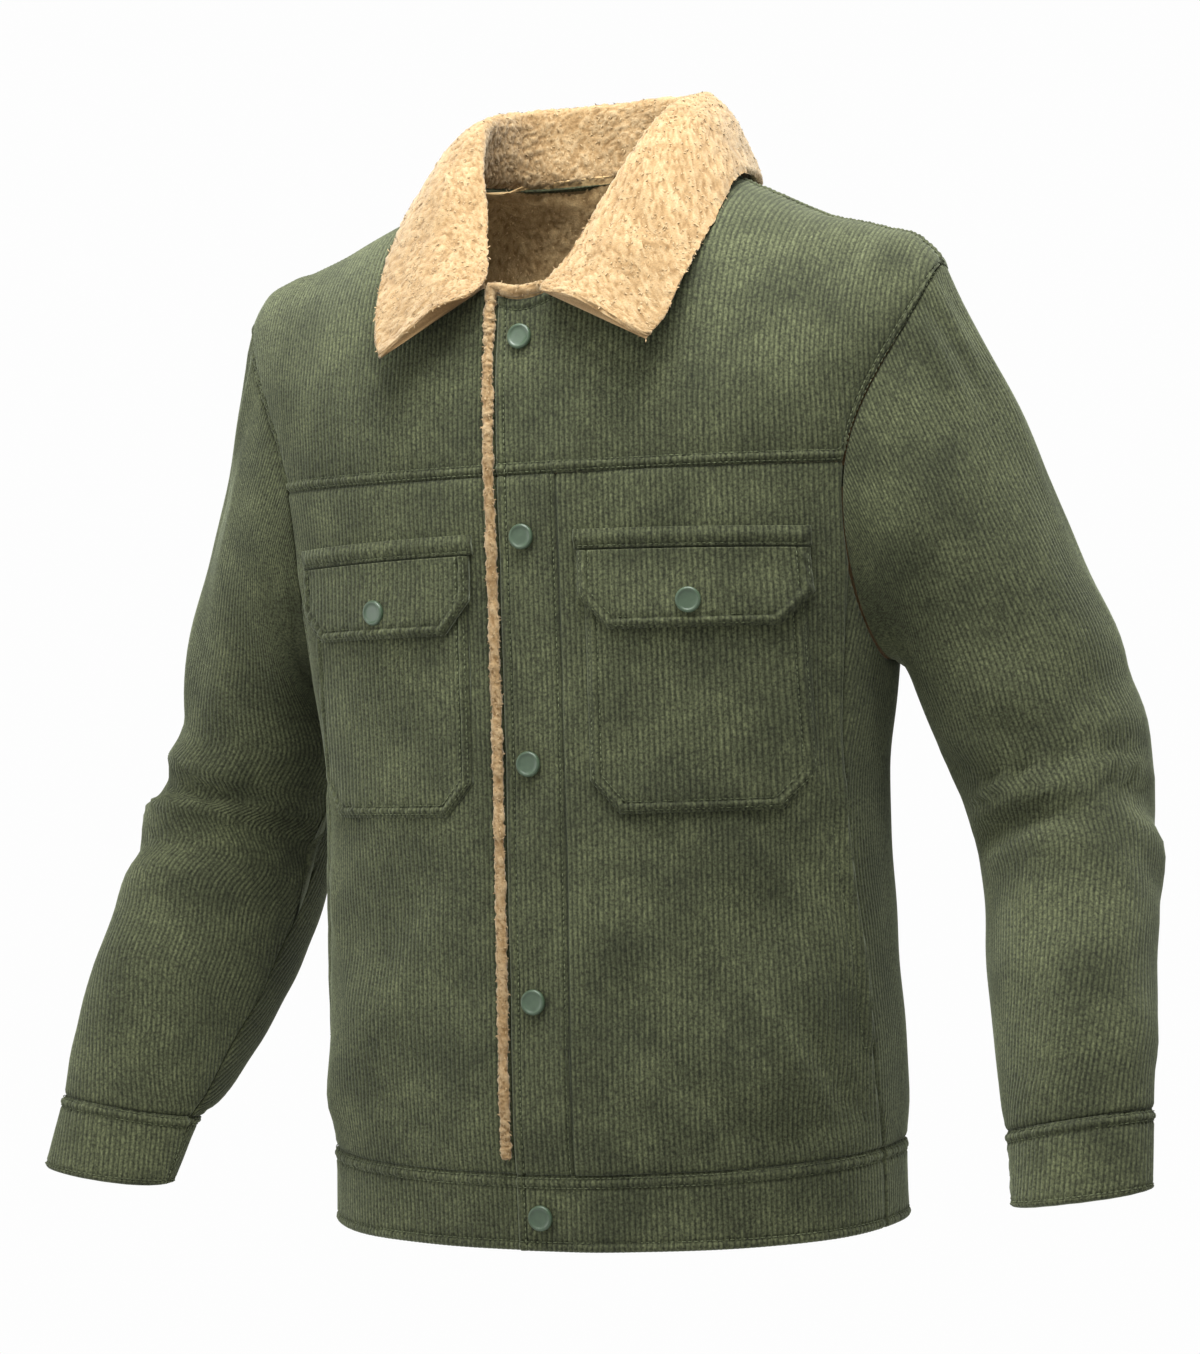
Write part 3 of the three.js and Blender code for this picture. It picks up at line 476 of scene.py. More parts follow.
class Panel:
    """A grid of cloth: columns are wale lines, rows run across them.

    out is each spot's distance from the middle line; spots past a side seam are cut there."""

    def __init__(self, u, turn, level, rows, length, seed, limit=None):
        self.u, self.turn, self.level, self.rows, self.length = u, turn, level, rows, length
        self.seed = seed
        self.out = u[:, None] * np.ones_like(rows)
        self.cut = np.zeros(rows.shape, bool)
        self.first, self.last = u[0] * np.ones_like(rows), u[-1] * np.ones_like(rows)
        self.limit = limit
        if limit is not None:
            reach = limit(level)
            self.cut = np.abs(self.out) >= reach
            self.out = np.clip(self.out, -reach, reach)
            self.first, self.last = np.maximum(self.first, -reach), np.minimum(self.last, reach)

    def relief(self, low=(), high=(), start=(), end=()):
        """Height of the cloth's surface over the plain one, and the painted shade in its grooves, seam
        crevices and stitch channels.
        """
        height = -WALE_DEPTH * groove_at(self.out) + drift(self.out, self.rows, self.seed)
        groove = groove_at(self.out)
        edges = ((self.rows, self.out, low), (self.length[:, None] - self.rows, self.out, high),
                 (self.out - self.first, self.rows, start), (self.last - self.out, self.rows, end))
        for distance, along, lines in edges:
            relief, seam_channel_shade = edge_relief(distance, along, lines)
            height, groove = height + relief, np.maximum(groove, seam_channel_shade)
        return height, groove

    def at_distance(self, distance, from_top, skip):
        """Turns and levels of the spots a distance in from the low or high edge."""
        spots = []
        for column in range(0, len(self.u), skip):
            if self.length[column] < 2 * distance + 4:
                continue
            at = self.length[column] - distance if from_top else distance
            level = np.interp(at, self.rows[column], self.level[column])
            if self.limit is None or abs(self.u[column]) < self.limit(level) - 1:
                spots.append((np.interp(at, self.rows[column], self.turn[column]), level))
        return np.array(spots).T


def body_panel(half, u, low, high, middle_rows, seed, ridge=False, limit=None, edges=(SEWN_ROWS, SEWN_ROWS),
               bend=None):
    """Columns of a body panel between two edges; u runs from the wearer's right to the left."""
    def turn_of(reach, level):
        return half.turn_at(reach - bend(reach, level) if bend else reach, level)

    share = np.linspace(0, 1, 72)[None, :]
    bottom, top = low(u)[:, None], high(u)[:, None]
    share = 1 - (1 - share) ** 2 if ridge else share
    level = lerp(bottom, top, share)
    side = np.where(u < 0, -1, 1)[:, None]
    reach = np.abs(u)[:, None] * np.ones_like(level)
    turn = turn_of(np.minimum(reach, limit(level)) if limit else reach, level)
    if ridge:
        seam_turn = np.interp(top, SHOULDER_SEAM[1], SHOULDER_SEAM[0])
        miss = np.where(top < NECK - 1e-4, seam_turn - turn[:, -1:], 0)
        turn = turn + miss * share ** 6
    signed = side * turn if half is FRONT else side * turn % 360
    turn, level, rows, length = columns_along(signed, level, body_base(signed, level), middle_rows, *edges)
    panel = Panel(u, turn, level, rows, length, seed, limit)
    if limit:
        exact = side * turn_of(np.abs(panel.out), level)
        panel.turn = exact if half is FRONT else exact % 360
    return panel


def inner_columns(count, every=10, keep=()):
    """The few columns that the plain inside of a cloth has."""
    return np.array(sorted(set(range(0, count, every)) | {count - 1} | set(keep)))


def faces_of(ids):
    """Quads of a grid, without those that a cut side has closed up."""
    quads = np.stack([ids[:-1, :-1], ids[1:, :-1], ids[1:, 1:], ids[:-1, 1:]], -1).reshape(-1, 4)
    return quads[(quads == np.roll(quads, -1, axis=1)).sum(1) < 2]


def polygons(quads):
    """Quads as lists, with those that have two corners in one spot as triangles."""
    return [list(dict.fromkeys(quad)) for quad in quads.tolist()]


def border_loops(quads):
    """The open edges of a quad mesh, joined to loops of vertex numbers."""
    edges = np.concatenate([quads[:, [i, (i + 1) % 4]] for i in range(4)])
    edges = edges[edges[:, 0] != edges[:, 1]]
    low, high = np.sort(edges, axis=1).T
    _, first, counts = np.unique(low * (quads.max() + 1) + high, return_index=True, return_counts=True)
    following = {int(a): int(b) for a, b in edges[first[counts == 1]]}
    loops = []
    while following:
        start, current = next(iter(following.items()))
        del following[start]
        loop = [start]
        while current != start:
            loop.append(current)
            current = following.pop(current)
        loops.append(loop)
    return loops


def rim_faces(loop, inner_of):
    """Triangles between an outer border and the inner border, which has only some of its vertices."""
    offset = next(index for index, vertex in enumerate(loop) if vertex in inner_of)
    loop = loop[offset:] + loop[:offset + 1]
    faces = []
    run = [loop[0]]
    for vertex in loop[1:]:
        run.append(vertex)
        if vertex not in inner_of:
            continue
        first, last = inner_of[run[0]], inner_of[vertex]
        half_way = len(run) // 2
        for index in range(len(run) - 1):
            faces.append((run[index + 1], run[index], first if index < half_way else last))
        faces.append((run[half_way], first, last))
        run = [vertex]
    return faces


def mesh_object(name, points, faces, materials, uv=None, groove=None, slots=None):
    mesh = bpy.data.meshes.new(name)
    mesh.from_pydata((np.asarray(points) * MM).tolist(), [], faces)
    for material in materials:
        mesh.materials.append(material)
    if uv is not None:
        corners = np.empty(len(mesh.loops), np.int32)
        mesh.loops.foreach_get("vertex_index", corners)
        layer = mesh.uv_layers.new(name="cloth")
        layer.data.foreach_set("uv", (uv[corners] * MM).astype(np.float32).ravel())
    if groove is not None:
        attribute = mesh.attributes.new("groove", "FLOAT", "POINT")
        attribute.data.foreach_set("value", np.asarray(groove, np.float32))
    if slots is not None:
        mesh.polygons.foreach_set("material_index", np.asarray(slots, np.int32))
    mesh.polygons.foreach_set("use_smooth", np.ones(len(mesh.polygons), bool))
    mesh.update()
    piece = bpy.data.objects.new(name, mesh)
    bpy.context.scene.collection.objects.link(piece)
    return piece


def face_vectors(quads, points):
    """The quads' normals, twice as long as the quads are large."""
    return np.cross(points[quads[:, 2]] - points[quads[:, 0]], points[quads[:, 3]] - points[quads[:, 1]])


def oriented(quads, points, normals, sign):
    """The quads, turned so that they face along the normals, or against them where sign is -1."""
    facing = (face_vectors(quads, points) * normals[quads[:, 0]]).sum() * sign
    return quads if facing > 0 else quads[:, ::-1]


def cloth_mesh(name, grids, picks, points, normals, uv, groove, materials, thickness=CLOTH):
    """A closed sheet: the fine outside, a plain inside of fewer columns, and rims between them."""
    quads = oriented(np.concatenate([faces_of(ids) for ids in grids]), points, normals, 1)
    inner_grids = [ids[pick] for ids, pick in zip(grids, picks)]
    used = np.unique(np.concatenate([ids.ravel() for ids in inner_grids]))
    inner_of = {int(vertex): len(points) + index for index, vertex in enumerate(used)}
    renumber = np.zeros(len(points), int)
    renumber[used] = len(points) + np.arange(len(used))
    everything = np.concatenate([points, points[used] - normals[used] * thickness])
    every_normal = np.concatenate([normals, normals[used]])
    inner_quads = renumber[np.concatenate([faces_of(ids) for ids in inner_grids])]
    inner_quads = oriented(inner_quads, everything, every_normal, -1)
    rims = [face for loop in border_loops(quads) for face in rim_faces(loop, inner_of)]
    faces = polygons(quads) + polygons(inner_quads) + rims
    near_edge = np.zeros(len(everything), bool)
    for ids in grids:
        near_edge[renumber[np.concatenate([ids[:, :3].ravel(), ids[:, -3:].ravel(), ids[0], ids[-1]])]] = True
    slots = np.zeros(len(faces), int)
    slots[len(quads):len(quads) + len(inner_quads)] = ~near_edge[inner_quads].any(axis=1)
    return mesh_object(name, everything, faces, materials, np.concatenate([uv, uv[used]]),
                       np.concatenate([groove, np.full(len(used), 0.3)]), slots)


def ids_for(panel, start=0):
    """Vertex numbers of a panel's grid; the spots past a cut side share the number of the spot on it."""
    ids = start + np.arange(panel.rows.size).reshape(panel.rows.shape)
    for side in (1, -1):
        columns = np.nonzero(panel.u * side > 0)[0]
        columns = columns[np.argsort(np.abs(panel.u[columns]))]
        for row in np.nonzero(panel.cut[columns].any(0))[0]:
            first = int(np.argmax(panel.cut[columns, row]))
            ids[columns[first:], row] = ids[columns[first], row]
    return ids


def panel_uv(panel):
    return np.stack([panel.out, panel.rows], -1).reshape(-1, 2)


def body_creases(turn, level):
    calm = between(level, BAND_TOP, BAND_TOP + 0.4, UNDERARM + 0.6, YOKE)
    return fold_height(BODY_CREASES, turn, level, BODY_SCALE) * calm


def add_cloth(name, panel, points, normals, groove, inside, thickness=CLOTH):
    """One panel as a closed sheet that takes its node's place."""
    piece = cloth_mesh(f"{name}_cloth", [ids_for(panel)], [inner_columns(len(panel.u))],
                       points.reshape(-1, 3), normals.reshape(-1, 3), panel_uv(panel), groove.ravel(),
                       [CORDUROY, inside], thickness)
    finish_piece(piece, name)
    set_cloth([panel])


def set_cloth(panels):
    """Works out the widest row, the longest column and the area between, and keeps none of them."""
    width = round(max(panel.u[-1] - panel.u[0] for panel in panels) * MM, 3)
    length = round(sum(panel.length.max() for panel in panels) * MM, 3)
    area = sum(float(np.trapz(panel.length, panel.u)) for panel in panels) * MM * MM
    area = round(min(area, width * length), 5)


def finish_piece(piece, node):
    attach(piece, "root")
    if node:
        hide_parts(node)
    return piece


# Sewing: every stitch line is kept as points and normals, and all the threads are made at the end.
stitch_lines = []
STITCH_SINK = 0.35


def stitch_line(points, normals):
    stitch_lines.append((points - normals * STITCH_SINK, normals))


def body_stitches(panel, lines, from_top, lapped):
    for line in lines:
        stitch_line(*body_point(*panel.at_distance(line, from_top, 4), 0.0, lapped))


def upright_stitches(panel, distances, lapped):
    for distance in distances:
        index = int(np.argmin(np.abs(panel.u - distance)))
        turn, level = panel.turn[index], panel.level[index]
        stitch_line(*body_point(turn, level, 0.0, lapped))


def add_body_panel(name, panel, lapped=False, low=(), high=(), start=(), end=(), extra=None):
    height, groove = panel.relief(low, high, start, end)
    height = height + body_creases(panel.turn, panel.level)
    if extra is not None:
        height = height + extra(panel)
    points, normals = body_point(panel.turn, panel.level, height, lapped)
    add_cloth(name, panel, points, normals, groove, LINING_CLOTH)
    body_stitches(panel, low, False, lapped)
    body_stitches(panel, high, True, lapped)
    upright_stitches(panel, [panel.u[0] + line for line in start], lapped)
    upright_stitches(panel, [panel.u[-1] - line for line in end], lapped)


POCKET_MOUTH = (2.35, 4.15)
MOUTH_STITCHES = 11
# Distance from the middle at which the yokes end, at the shoulder's tip.
YOKE_END_X = 238.4


def pocket_mouth(side):
    """The slanted pocket opening in the side seam: its front lip stands a little proud."""
    def extra(panel):
        inside = FRONT_LIMIT(panel.level) - np.abs(panel.out)
        low, high = POCKET_MOUTH
        ends = between(panel.level, low - 0.06, low + 0.1, high - 0.1, high + 0.06)
        lip = 3.4 * np.exp(-(inside / 9.0) ** 2) - 0.9 * np.exp(-(inside - MOUTH_STITCHES) ** 2)
        return lip * ends * (side * panel.out > 0)
    return extra


def even(level):
    return lambda u: np.full(np.shape(u), float(level))


def farthest(limit, low, high):
    """A distance just past the panel's widest place between two levels."""
    return float(limit(np.linspace(low, high, 200)).max()) + 0.4


def add_fronts():
    side_end = farthest(FRONT_LIMIT, BAND_TOP, YOKE)
    yoke_end = float(np.interp(YOKE_END_X, FRONT.high_x, FRONT.high_u))
    seam = PLACKET_SEAM_X + SEAM_HALF_GAP
    lines = {"front_left": (seam, side_end), "front_right": (-side_end, UNDER_LAP_X),
             "front_yoke_left": (PLACKET_EDGE_X, yoke_end), "front_yoke_right": (-yoke_end, UNDER_LAP_X),
             "placket_left": (PLACKET_EDGE_X, PLACKET_SEAM_X - SEAM_HALF_GAP)}
    sewing = {"front_left": {"extra": pocket_mouth(1)}, "front_right": {"extra": pocket_mouth(-1)},
              "front_yoke_left": {"low": (1.6, 7.4), "high": (6.8,), "start": (6.0,)},
              "front_yoke_right": {"low": (1.6, 7.4), "high": (6.8,)},
              "placket_left": {"start": (6.0,), "end": (2.2,)}}
    for seed, (name, (start, end)) in enumerate(lines.items(), 11):
        columns = wale_lines(start, end)
        if "yoke" in name:
            panel = body_panel(FRONT, columns, FRONT_YOKE_LOW, FRONT_YOKE_TOP, 14, seed, True)
        else:
            limit = None if "placket" in name else FRONT_LIMIT
            panel = body_panel(FRONT, columns, even(BAND_TOP), even(YOKE), 44, seed, limit=limit,
                               edges=(PLAIN_ROWS, PLAIN_ROWS))
        add_body_panel(name, panel, name.endswith("left"), **sewing[name])
    for side in (1, -1):
        pocket_mouth_stitches(side)


def pocket_mouth_stitches(side):
    level = np.linspace(*POCKET_MOUTH, 60)
    turn = side * FRONT.turn_at(FRONT_LIMIT(level) - MOUTH_STITCHES, level)
    stitch_line(*body_point(turn, level, 0.6, side > 0))
    for end in POCKET_MOUTH:
        out = float(FRONT_LIMIT(end)) - np.linspace(MOUTH_STITCHES, 1, 12)
        level = np.full(12, float(end))
        stitch_line(*body_point(side * FRONT.turn_at(out, level), level, 0.8, side > 0))


def add_waistbands():
    front_end, back_end = (farthest(limit, HEM, BAND_TOP) for limit in (FRONT_LIMIT, BACK_LIMIT))
    bands = (("left", FRONT, FRONT_LIMIT, PLACKET_EDGE_X, front_end, (5.0,)),
             ("right", FRONT, FRONT_LIMIT, -front_end, UNDER_LAP_X, ()),
             ("back", BACK, BACK_LIMIT, -back_end, back_end, ()))
    for seed, (word, half, limit, first, last, start) in enumerate(bands, 21):
        panel = body_panel(half, wale_lines(first, last), even(HEM), even(BAND_TOP), 4, seed, limit=limit)
        add_body_panel(f"waistband_{word}", panel, word == "left", low=(6.0,), high=(1.6, 7.6), start=start)


def add_back():
    """The back is one piece: a lower part round to the side seams and an upper part to the shoulders."""
    low_end = farthest(BACK_LIMIT, BAND_TOP, armhole(SIDE_SEAM_STATION)[1])
    high_end = float(np.interp(YOKE_END_X, BACK.high_x, BACK.high_u))
    fixed = (-BACK_HOLE, BACK_HOLE, -high_end, high_end)
    columns = wale_lines(-low_end, low_end, fixed)
    low = body_panel(BACK, columns, even(BAND_TOP), back_top, 40, 31, limit=BACK_LIMIT,
                     edges=(PLAIN_ROWS, PLAIN_ROWS), bend=back_bend)
    upper = np.abs(columns) <= high_end + 1e-6
    high = body_panel(BACK, columns[upper], BACK_YOKE_LOW, BACK_YOKE_TOP, 14, 31, True,
                      edges=(PLAIN_ROWS, SEWN_ROWS))
    shared = np.abs(columns) <= BACK_HOLE + 1e-6
    low_ids = ids_for(low)
    high_ids = ids_for(high, low_ids.size)
    high_ids[shared[upper], 0] = low_ids[shared, -1]
    low_height, low_groove = back_relief(low, shared, True)
    high_height, high_groove = back_relief(high, shared[upper], False)
    low_height = low_height + body_creases(low.turn, low.level)
    first = body_point(low.turn, low.level, low_height)
    second = body_point(high.turn, high.level, high_height)
    points, normals = (np.concatenate([a.reshape(-1, 3), b.reshape(-1, 3)]) for a, b in zip(first, second))
    uv = np.concatenate([panel_uv(low), panel_uv(high) + [0, low.length.max()]])
    kept = [int(np.argmin(np.abs(columns - place))) for place in fixed]
    pick = inner_columns(len(columns), keep=kept)
    offset = int(np.argmax(upper))
    high_pick = pick[upper[pick]] - offset
    piece = cloth_mesh("back_cloth", [low_ids, high_ids], [pick, high_pick], points, normals, uv,
                       np.concatenate([low_groove.ravel(), high_groove.ravel()]), [CORDUROY, LINING_CLOTH])
    finish_piece(piece, "back")
    set_cloth([low, high])
    body_stitches(high, (2.0,), True, False)


def back_relief(panel, shared, low):
    """Relief of a part of the back, with no seam roll and no painted seam shade where its two parts are one
    cloth.
    """
    height, groove = panel.relief()
    joint = panel.length[:, None] - panel.rows if low else panel.rows
    seam = edge_relief(joint, panel.out, ())[0] + drift(panel.out, panel.rows, panel.seed)
    whole = drift(panel.out, panel.level * 90, 33)
    groove = np.where(shared[:, None] & (joint < 12), groove_at(panel.out), groove)
    return height + np.where(shared[:, None], whole - seam, 0), groove


# Sleeves: tables of rows along the arm and columns round it, which overlap where they meet.
PLACES = np.linspace(0, CUFF_END, 141)
PLACE_STEP, STATION_STEP, STATION_FROM = 0.05, 3.0, -9
STATIONS = np.arange(STATION_FROM, 369.1, STATION_STEP)


def arm_ring_point(station, place):
    """Points on the sleeve's rings, and the way down the arm at them."""
    station, place = paired(station, place)
    row = np.moveaxis(curve_through(ARM_ROWS, place - 1), -1, 0)
    ahead = curve_through(ARM_ROWS, place - 1 + 0.2)[..., :3]
    behind = curve_through(ARM_ROWS, place - 1 - 0.2)[..., :3]
    down = unit(ahead - behind)
    twist = np.radians(row[5])
    long_way = np.stack([np.sin(twist), -np.cos(twist), np.zeros_like(twist)], -1)
    long_way = unit(long_way - down * (long_way * down).sum(-1, keepdims=True))
    short_way = unit(np.cross(long_way, down))
    angle = np.radians(station - row[5])[..., None]
    centre = np.stack(row[:3], -1)
    point = centre - short_way * (row[4][..., None] * np.cos(angle))
    point = point + long_way * (row[3][..., None] * np.sin(angle))
    level_part = CUFF_LEVELLING * smooth(place, LEVELLING_FROM, LEVELLING_TO)
    point[..., 2] += level_part * (point[..., 1] - centre[..., 1])
    return point, down


# How far each sleeve's edge goes under the back's edge, and how deep it lies there.
TUCK, TUCK_DEPTH = 2.6, 1.3


def sleeve_cap(station, place):
    """The sleeve's head, from the armhole down to the first ring."""
    turn, level = armhole(station)
    point, normal = body_point(turn, level)
    along = unit(body_point(*armhole(station + 1))[0] - body_point(*armhole(station - 1))[0])
    into_hole = unit(np.cross(along, normal))
    top = (1 - np.cos(np.radians(station))) / 2
    keep = lerp(0.1, 1, smooth(top, 0.05, 1))
    leave = np.sqrt(1 - keep * keep)
    rear = smooth(-np.sin(np.radians(station)), 0.1, 0.5)[..., None]
    start = point + into_hole * (SEAM_HALF_GAP - TUCK * rear) - normal * TUCK_DEPTH * rear
    end, down = arm_ring_point(station, np.ones_like(station, float))
    reach = np.linalg.norm(end - start, axis=-1, keepdims=True)
    away = into_hole * keep[..., None] + normal * leave[..., None]
    pull = reach * lerp(0.85, 0.66, top)[..., None]
    return hermite(start, away * pull, end, down * reach * 0.9, place[..., None])


def evened(table, first, last, passes):
    """The sleeve's table with the rows from first to last smoothed; its columns run round the sleeve."""
    table = table.copy()
    for _ in range(passes):
        mean = (table[:-2, 1:-1] + table[2:, 1:-1] + table[1:-1, :-2] + table[1:-1, 2:]) / 4
        table[first:last, 1:-1] = mean[first - 1:last - 1]
        table[:, :3], table[:, 124:] = table[:, 120:123], table[:, 4:7]
    return table


# First row, last row and passes.
HEAD_EVENED, ELBOW_EVENED = (1, 26, 16), (28, 72, 4)
# Height of the gathers at the sleeve's head.
GATHERS = 1.3


class Sleeve:
    """One sleeve's surface as tables of points and normals, in the left sleeve's place."""

    def __init__(self, folds, creases):
        station, place = paired(STATIONS[None, :], PLACES[:, None])
        ring = arm_ring_point(station, np.maximum(place, 1))[0]
        cap = sleeve_cap(station, np.minimum(place, 1))
        base = evened(np.where((place < 1)[..., None], cap, ring), *HEAD_EVENED)
        calm = between(place, 0.05, 0.4, CUFF_TOP - 0.6, CUFF_TOP)
        height = fold_height(folds, station, place, ARM_SCALE) * calm
        self.points = evened(base - table_normals(base) * height[..., None], *ELBOW_EVENED)
        self.normals = -table_normals(self.points)
        self.creases = creases
        self.walk = {side: self.walks(side) for side in (1, -1)}

    def at(self, station, place, lift=0.0):
        row = np.asarray(place, float) / PLACE_STEP
        column = (np.asarray(station, float) - STATION_FROM) / STATION_STEP
        point, normal = look_up(self.points, row, column), unit(look_up(self.normals, row, column))
        return point + normal * np.asarray(lift, float)[..., None], normal

    def walks(self, side):
        """Lengths around each loop from the outer line to the underarm; side 1 goes round the front."""
        stations = np.linspace(180, 0 if side > 0 else 360, 181)
        arcs = lengths_along(self.at(*paired(stations[None, :], PLACES[:, None]))[0])
        reach = np.arange(0, arcs.max() + REACH_STEP, REACH_STEP)
        return arcs[:, -1], np.array([np.interp(reach, row, stations) for row in arcs])

    def panel(self, first, last, middle_rows, seed):
        """Columns of the sleeve or its cuff, each as long as its wale line lasts before the underarm."""
        parts = []
        for side in (-1, 1):
            reach, station_of = self.walk[side]
            inside = (PLACES >= first) & (PLACES <= last)
            spots, limits = PLACES[inside], reach[inside]
            peak = int(np.argmax(limits))
            u = wale_lines(0 if side > 0 else SEAM_HALF_GAP, float(limits[peak]) - 0.6)
            opening = np.full(len(u), first)
            if peak:
                opening = np.interp(u, limits[:peak + 1], spots[:peak + 1], left=first)
            closing = np.interp(-u, -limits[peak:], spots[peak:], right=last)
            closing = np.where(u <= limits[-1], last, closing)
            place = lerp(opening[:, None], closing[:, None], np.linspace(0, 1, 90)[None, :])
            column = u[:, None] / REACH_STEP + place * 0
            station = look_up(station_of[..., None], place / PLACE_STEP, column)[..., 0]
            parts.append((side * u, station, place))
        u, station, place = (np.concatenate([right[::-1], left]) for right, left in zip(*parts))
        edges = (PLAIN_ROWS, PLAIN_ROWS) if first == 0 else (SEWN_ROWS, SEWN_ROWS)
        found = columns_along(station, place, self.at(station, place)[0], middle_rows, *edges)
        return Panel(u, *found, seed)

    def crease_height(self, station, place):
        calm = between(place, 0.05, 0.4, CUFF_TOP - 0.5, CUFF_TOP)
        top = np.exp(-((station - 165) / 75) ** 2)
        gathers = np.sin(np.radians(station) * 14 + 1.7 * np.sin(np.radians(station) * 5))
        gathers = gathers * GATHERS * top * between(place, 0, 0.06, 0.12, 0.42)
        return fold_height(self.creases, station, place, ARM_SCALE) * calm + gathers


def add_sleeve(sleeve, name, side, first, last, middle_rows, seed, low, high):
    panel = sleeve.panel(first, last, middle_rows, seed)
    height, groove = panel.relief(low=low, high=high)
    height = height + sleeve.crease_height(panel.turn, panel.level)
    points, normals = sleeve.at(panel.turn, panel.level, height)
    mirror = np.array([side, 1, 1])
    add_cloth(name, panel, points * mirror, normals * mirror, groove, LINING_CLOTH)
    for lines, from_end in ((low, False), (high, True)):
        for line in lines:
            spots, ways = sleeve.at(*panel.at_distance(line, from_end, 3))
            stitch_line(spots * mirror, ways * mirror)


def add_sleeves():
    top, end = float(CUFF_TOP), float(CUFF_END)
    for side, word, folds, creases in ((1, "left", LEFT_SLEEVE_FOLDS, LEFT_SLEEVE_CREASES),
                                       (-1, "right", RIGHT_SLEEVE_FOLDS, RIGHT_SLEEVE_CREASES)):
        sleeve = Sleeve(folds, creases)
        add_sleeve(sleeve, f"sleeve_{word}", side, 0.0, top, 60, 41 + side, (), ())
        add_sleeve(sleeve, f"cuff_{word}", side, top, end, 3, 51 + side, (1.6, 7.4), (3.2,))


# Pockets, welts and flaps on the fronts: inner_x, outer_x, top, bottom, corner_x, corner_z.
POCKET = (40, 168, -251, -413, 18, 21)
WELT = (35, 172, -238, -250.5, 0, 0)
FLAP = (37, 171, -251, -300, 18, 21)
POCKET_TOP_LIFT, WELT_TOP_LIFT, FLAP_TOP_LIFT = 2.4, 4.0, 5.2


def patch_panel(shape, middle_rows, seed):
    """A flat piece on a front, as columns of (x, z) with its lower corners cut off."""
    inner, outer, top, bottom, corner_x, corner_z = shape
    columns = wale_lines(inner, outer)
    from_edge = np.minimum(columns - inner, outer - columns)
    low = bottom + np.maximum(0, corner_z * (1 - from_edge / max(corner_x, 1)))
    length = top - low
    rows = row_distances(length, middle_rows, SEWN_ROWS, SEWN_ROWS)
    x = columns[:, None] * np.ones_like(rows)
    return Panel(columns, x, low[:, None] + rows, rows, length, seed)


def outline_distance(panel, shape):
    """Distances in from the outline of a patch, cut corners too, and from its top."""
    inner, outer, top, bottom, corner_x, corner_z = shape
    side = np.minimum(panel.turn - inner, outer - panel.turn)
    low = panel.level - bottom
    inside = np.minimum(side, low)
    if corner_x:
        cut = (side * corner_z + low * corner_x - corner_x * corner_z) / math.hypot(corner_x, corner_z)
        inside = np.minimum(inside, cut)
    return inside, top - panel.level


def add_patch(name, shape, side, lift, middle_rows, seed, thickness, line, extra):
    panel = patch_panel(shape, middle_rows, seed)
    inside, from_top = outline_distance(panel, shape)
    # Painted shade in the wale grooves and along the outline's seam crevice and stitch channels.
    relief, seam_channel_shade = edge_relief(inside, panel.turn + panel.level, line)
    groove = np.maximum(groove_at(panel.turn), seam_channel_shade)
    height = relief - WALE_DEPTH * groove_at(panel.turn) + drift(panel.turn, panel.level, seed) * 0.6
    height += extra(panel, inside, from_top)
    turn, level = place_on_front(side * panel.turn, panel.level)
    points, normals = body_point(turn, level, lift + height, side > 0)
    add_cloth(name, panel, points, normals, groove, CORDUROY, thickness)


def patch_outline(shape, inset, open_top):
    """The stitch line inside a patch's cut outline."""
    inner, outer, top, bottom, corner_x, corner_z = shape
    left, right, low = inner + inset, outer - inset, bottom + inset
    slant = corner_x * corner_z + inset * math.hypot(corner_x, corner_z)
    up = (slant - inset * corner_z) / corner_x - inset if corner_x else 0
    in_from = (slant - inset * corner_x) / corner_z - inset if corner_z else 0
    spots = [(left, top), (left, low + up), (left + in_from, low),
             (right - in_from, low), (right, low + up), (right, top)]
    if not open_top:
        spots = [(left, top - inset)] + spots[1:-1] + [(right, top - inset), (left, top - inset)]
    spots = np.array(spots, float)
    walked = lengths_along(spots)
    places = np.arange(0, walked[-1], 2.0)
    return np.interp(places, walked, spots[:, 0]), np.interp(places, walked, spots[:, 1])


def flap_hang(panel, inside, from_top):
    """The flap lies tight under its welt and stands off towards its lower edge."""
    return 2.6 * smooth(from_top, 4, 45) + 1.1 * np.sin(panel.turn * 0.075 + 0.8) * smooth(from_top, 15, 45)


def welt_round(panel, inside, from_top):
    return 1.2 * np.exp(-((from_top - 5) / 3.6) ** 2)


def lies_flat(panel, inside, from_top):
    return np.zeros_like(inside)


# Stitch lines on the patches: shape, inset, lift, and whether the top has none.
PATCH_STITCHES = (
    (POCKET, 2.2, POCKET_TOP_LIFT, True), (POCKET, 7.5, POCKET_TOP_LIFT, True),
    (FLAP, 2.0, FLAP_TOP_LIFT + 1.2, True), (FLAP, 7.6, FLAP_TOP_LIFT + 1.2, True),
    (WELT, 2.2, WELT_TOP_LIFT, False),
)


def add_pockets():
    for side, word in ((1, "left"), (-1, "right")):
        add_patch(f"pocket_{word}", POCKET, side, POCKET_TOP_LIFT, 16, 61 + side, 2.0, (2.0, 7.0), lies_flat)
        add_patch(f"flap_{word}", FLAP, side, FLAP_TOP_LIFT, 8, 64 + side, CLOTH, (1.6, 6.8), flap_hang)
        add_patch(f"flap_welt_{word}", WELT, side, WELT_TOP_LIFT, 1, 67 + side, 3.4, (2.2,), welt_round)
        for shape, inset, lift, open_top in PATCH_STITCHES:
            x, z = patch_outline(shape, inset, open_top)
            turn, level = place_on_front(side * x, z)
            stitch_line(*body_point(turn, level, lift, side > 0))


# Threads
STITCH_LENGTH, STITCH_STEP, THREAD_RADIUS = 2.9, 3.7, 0.36


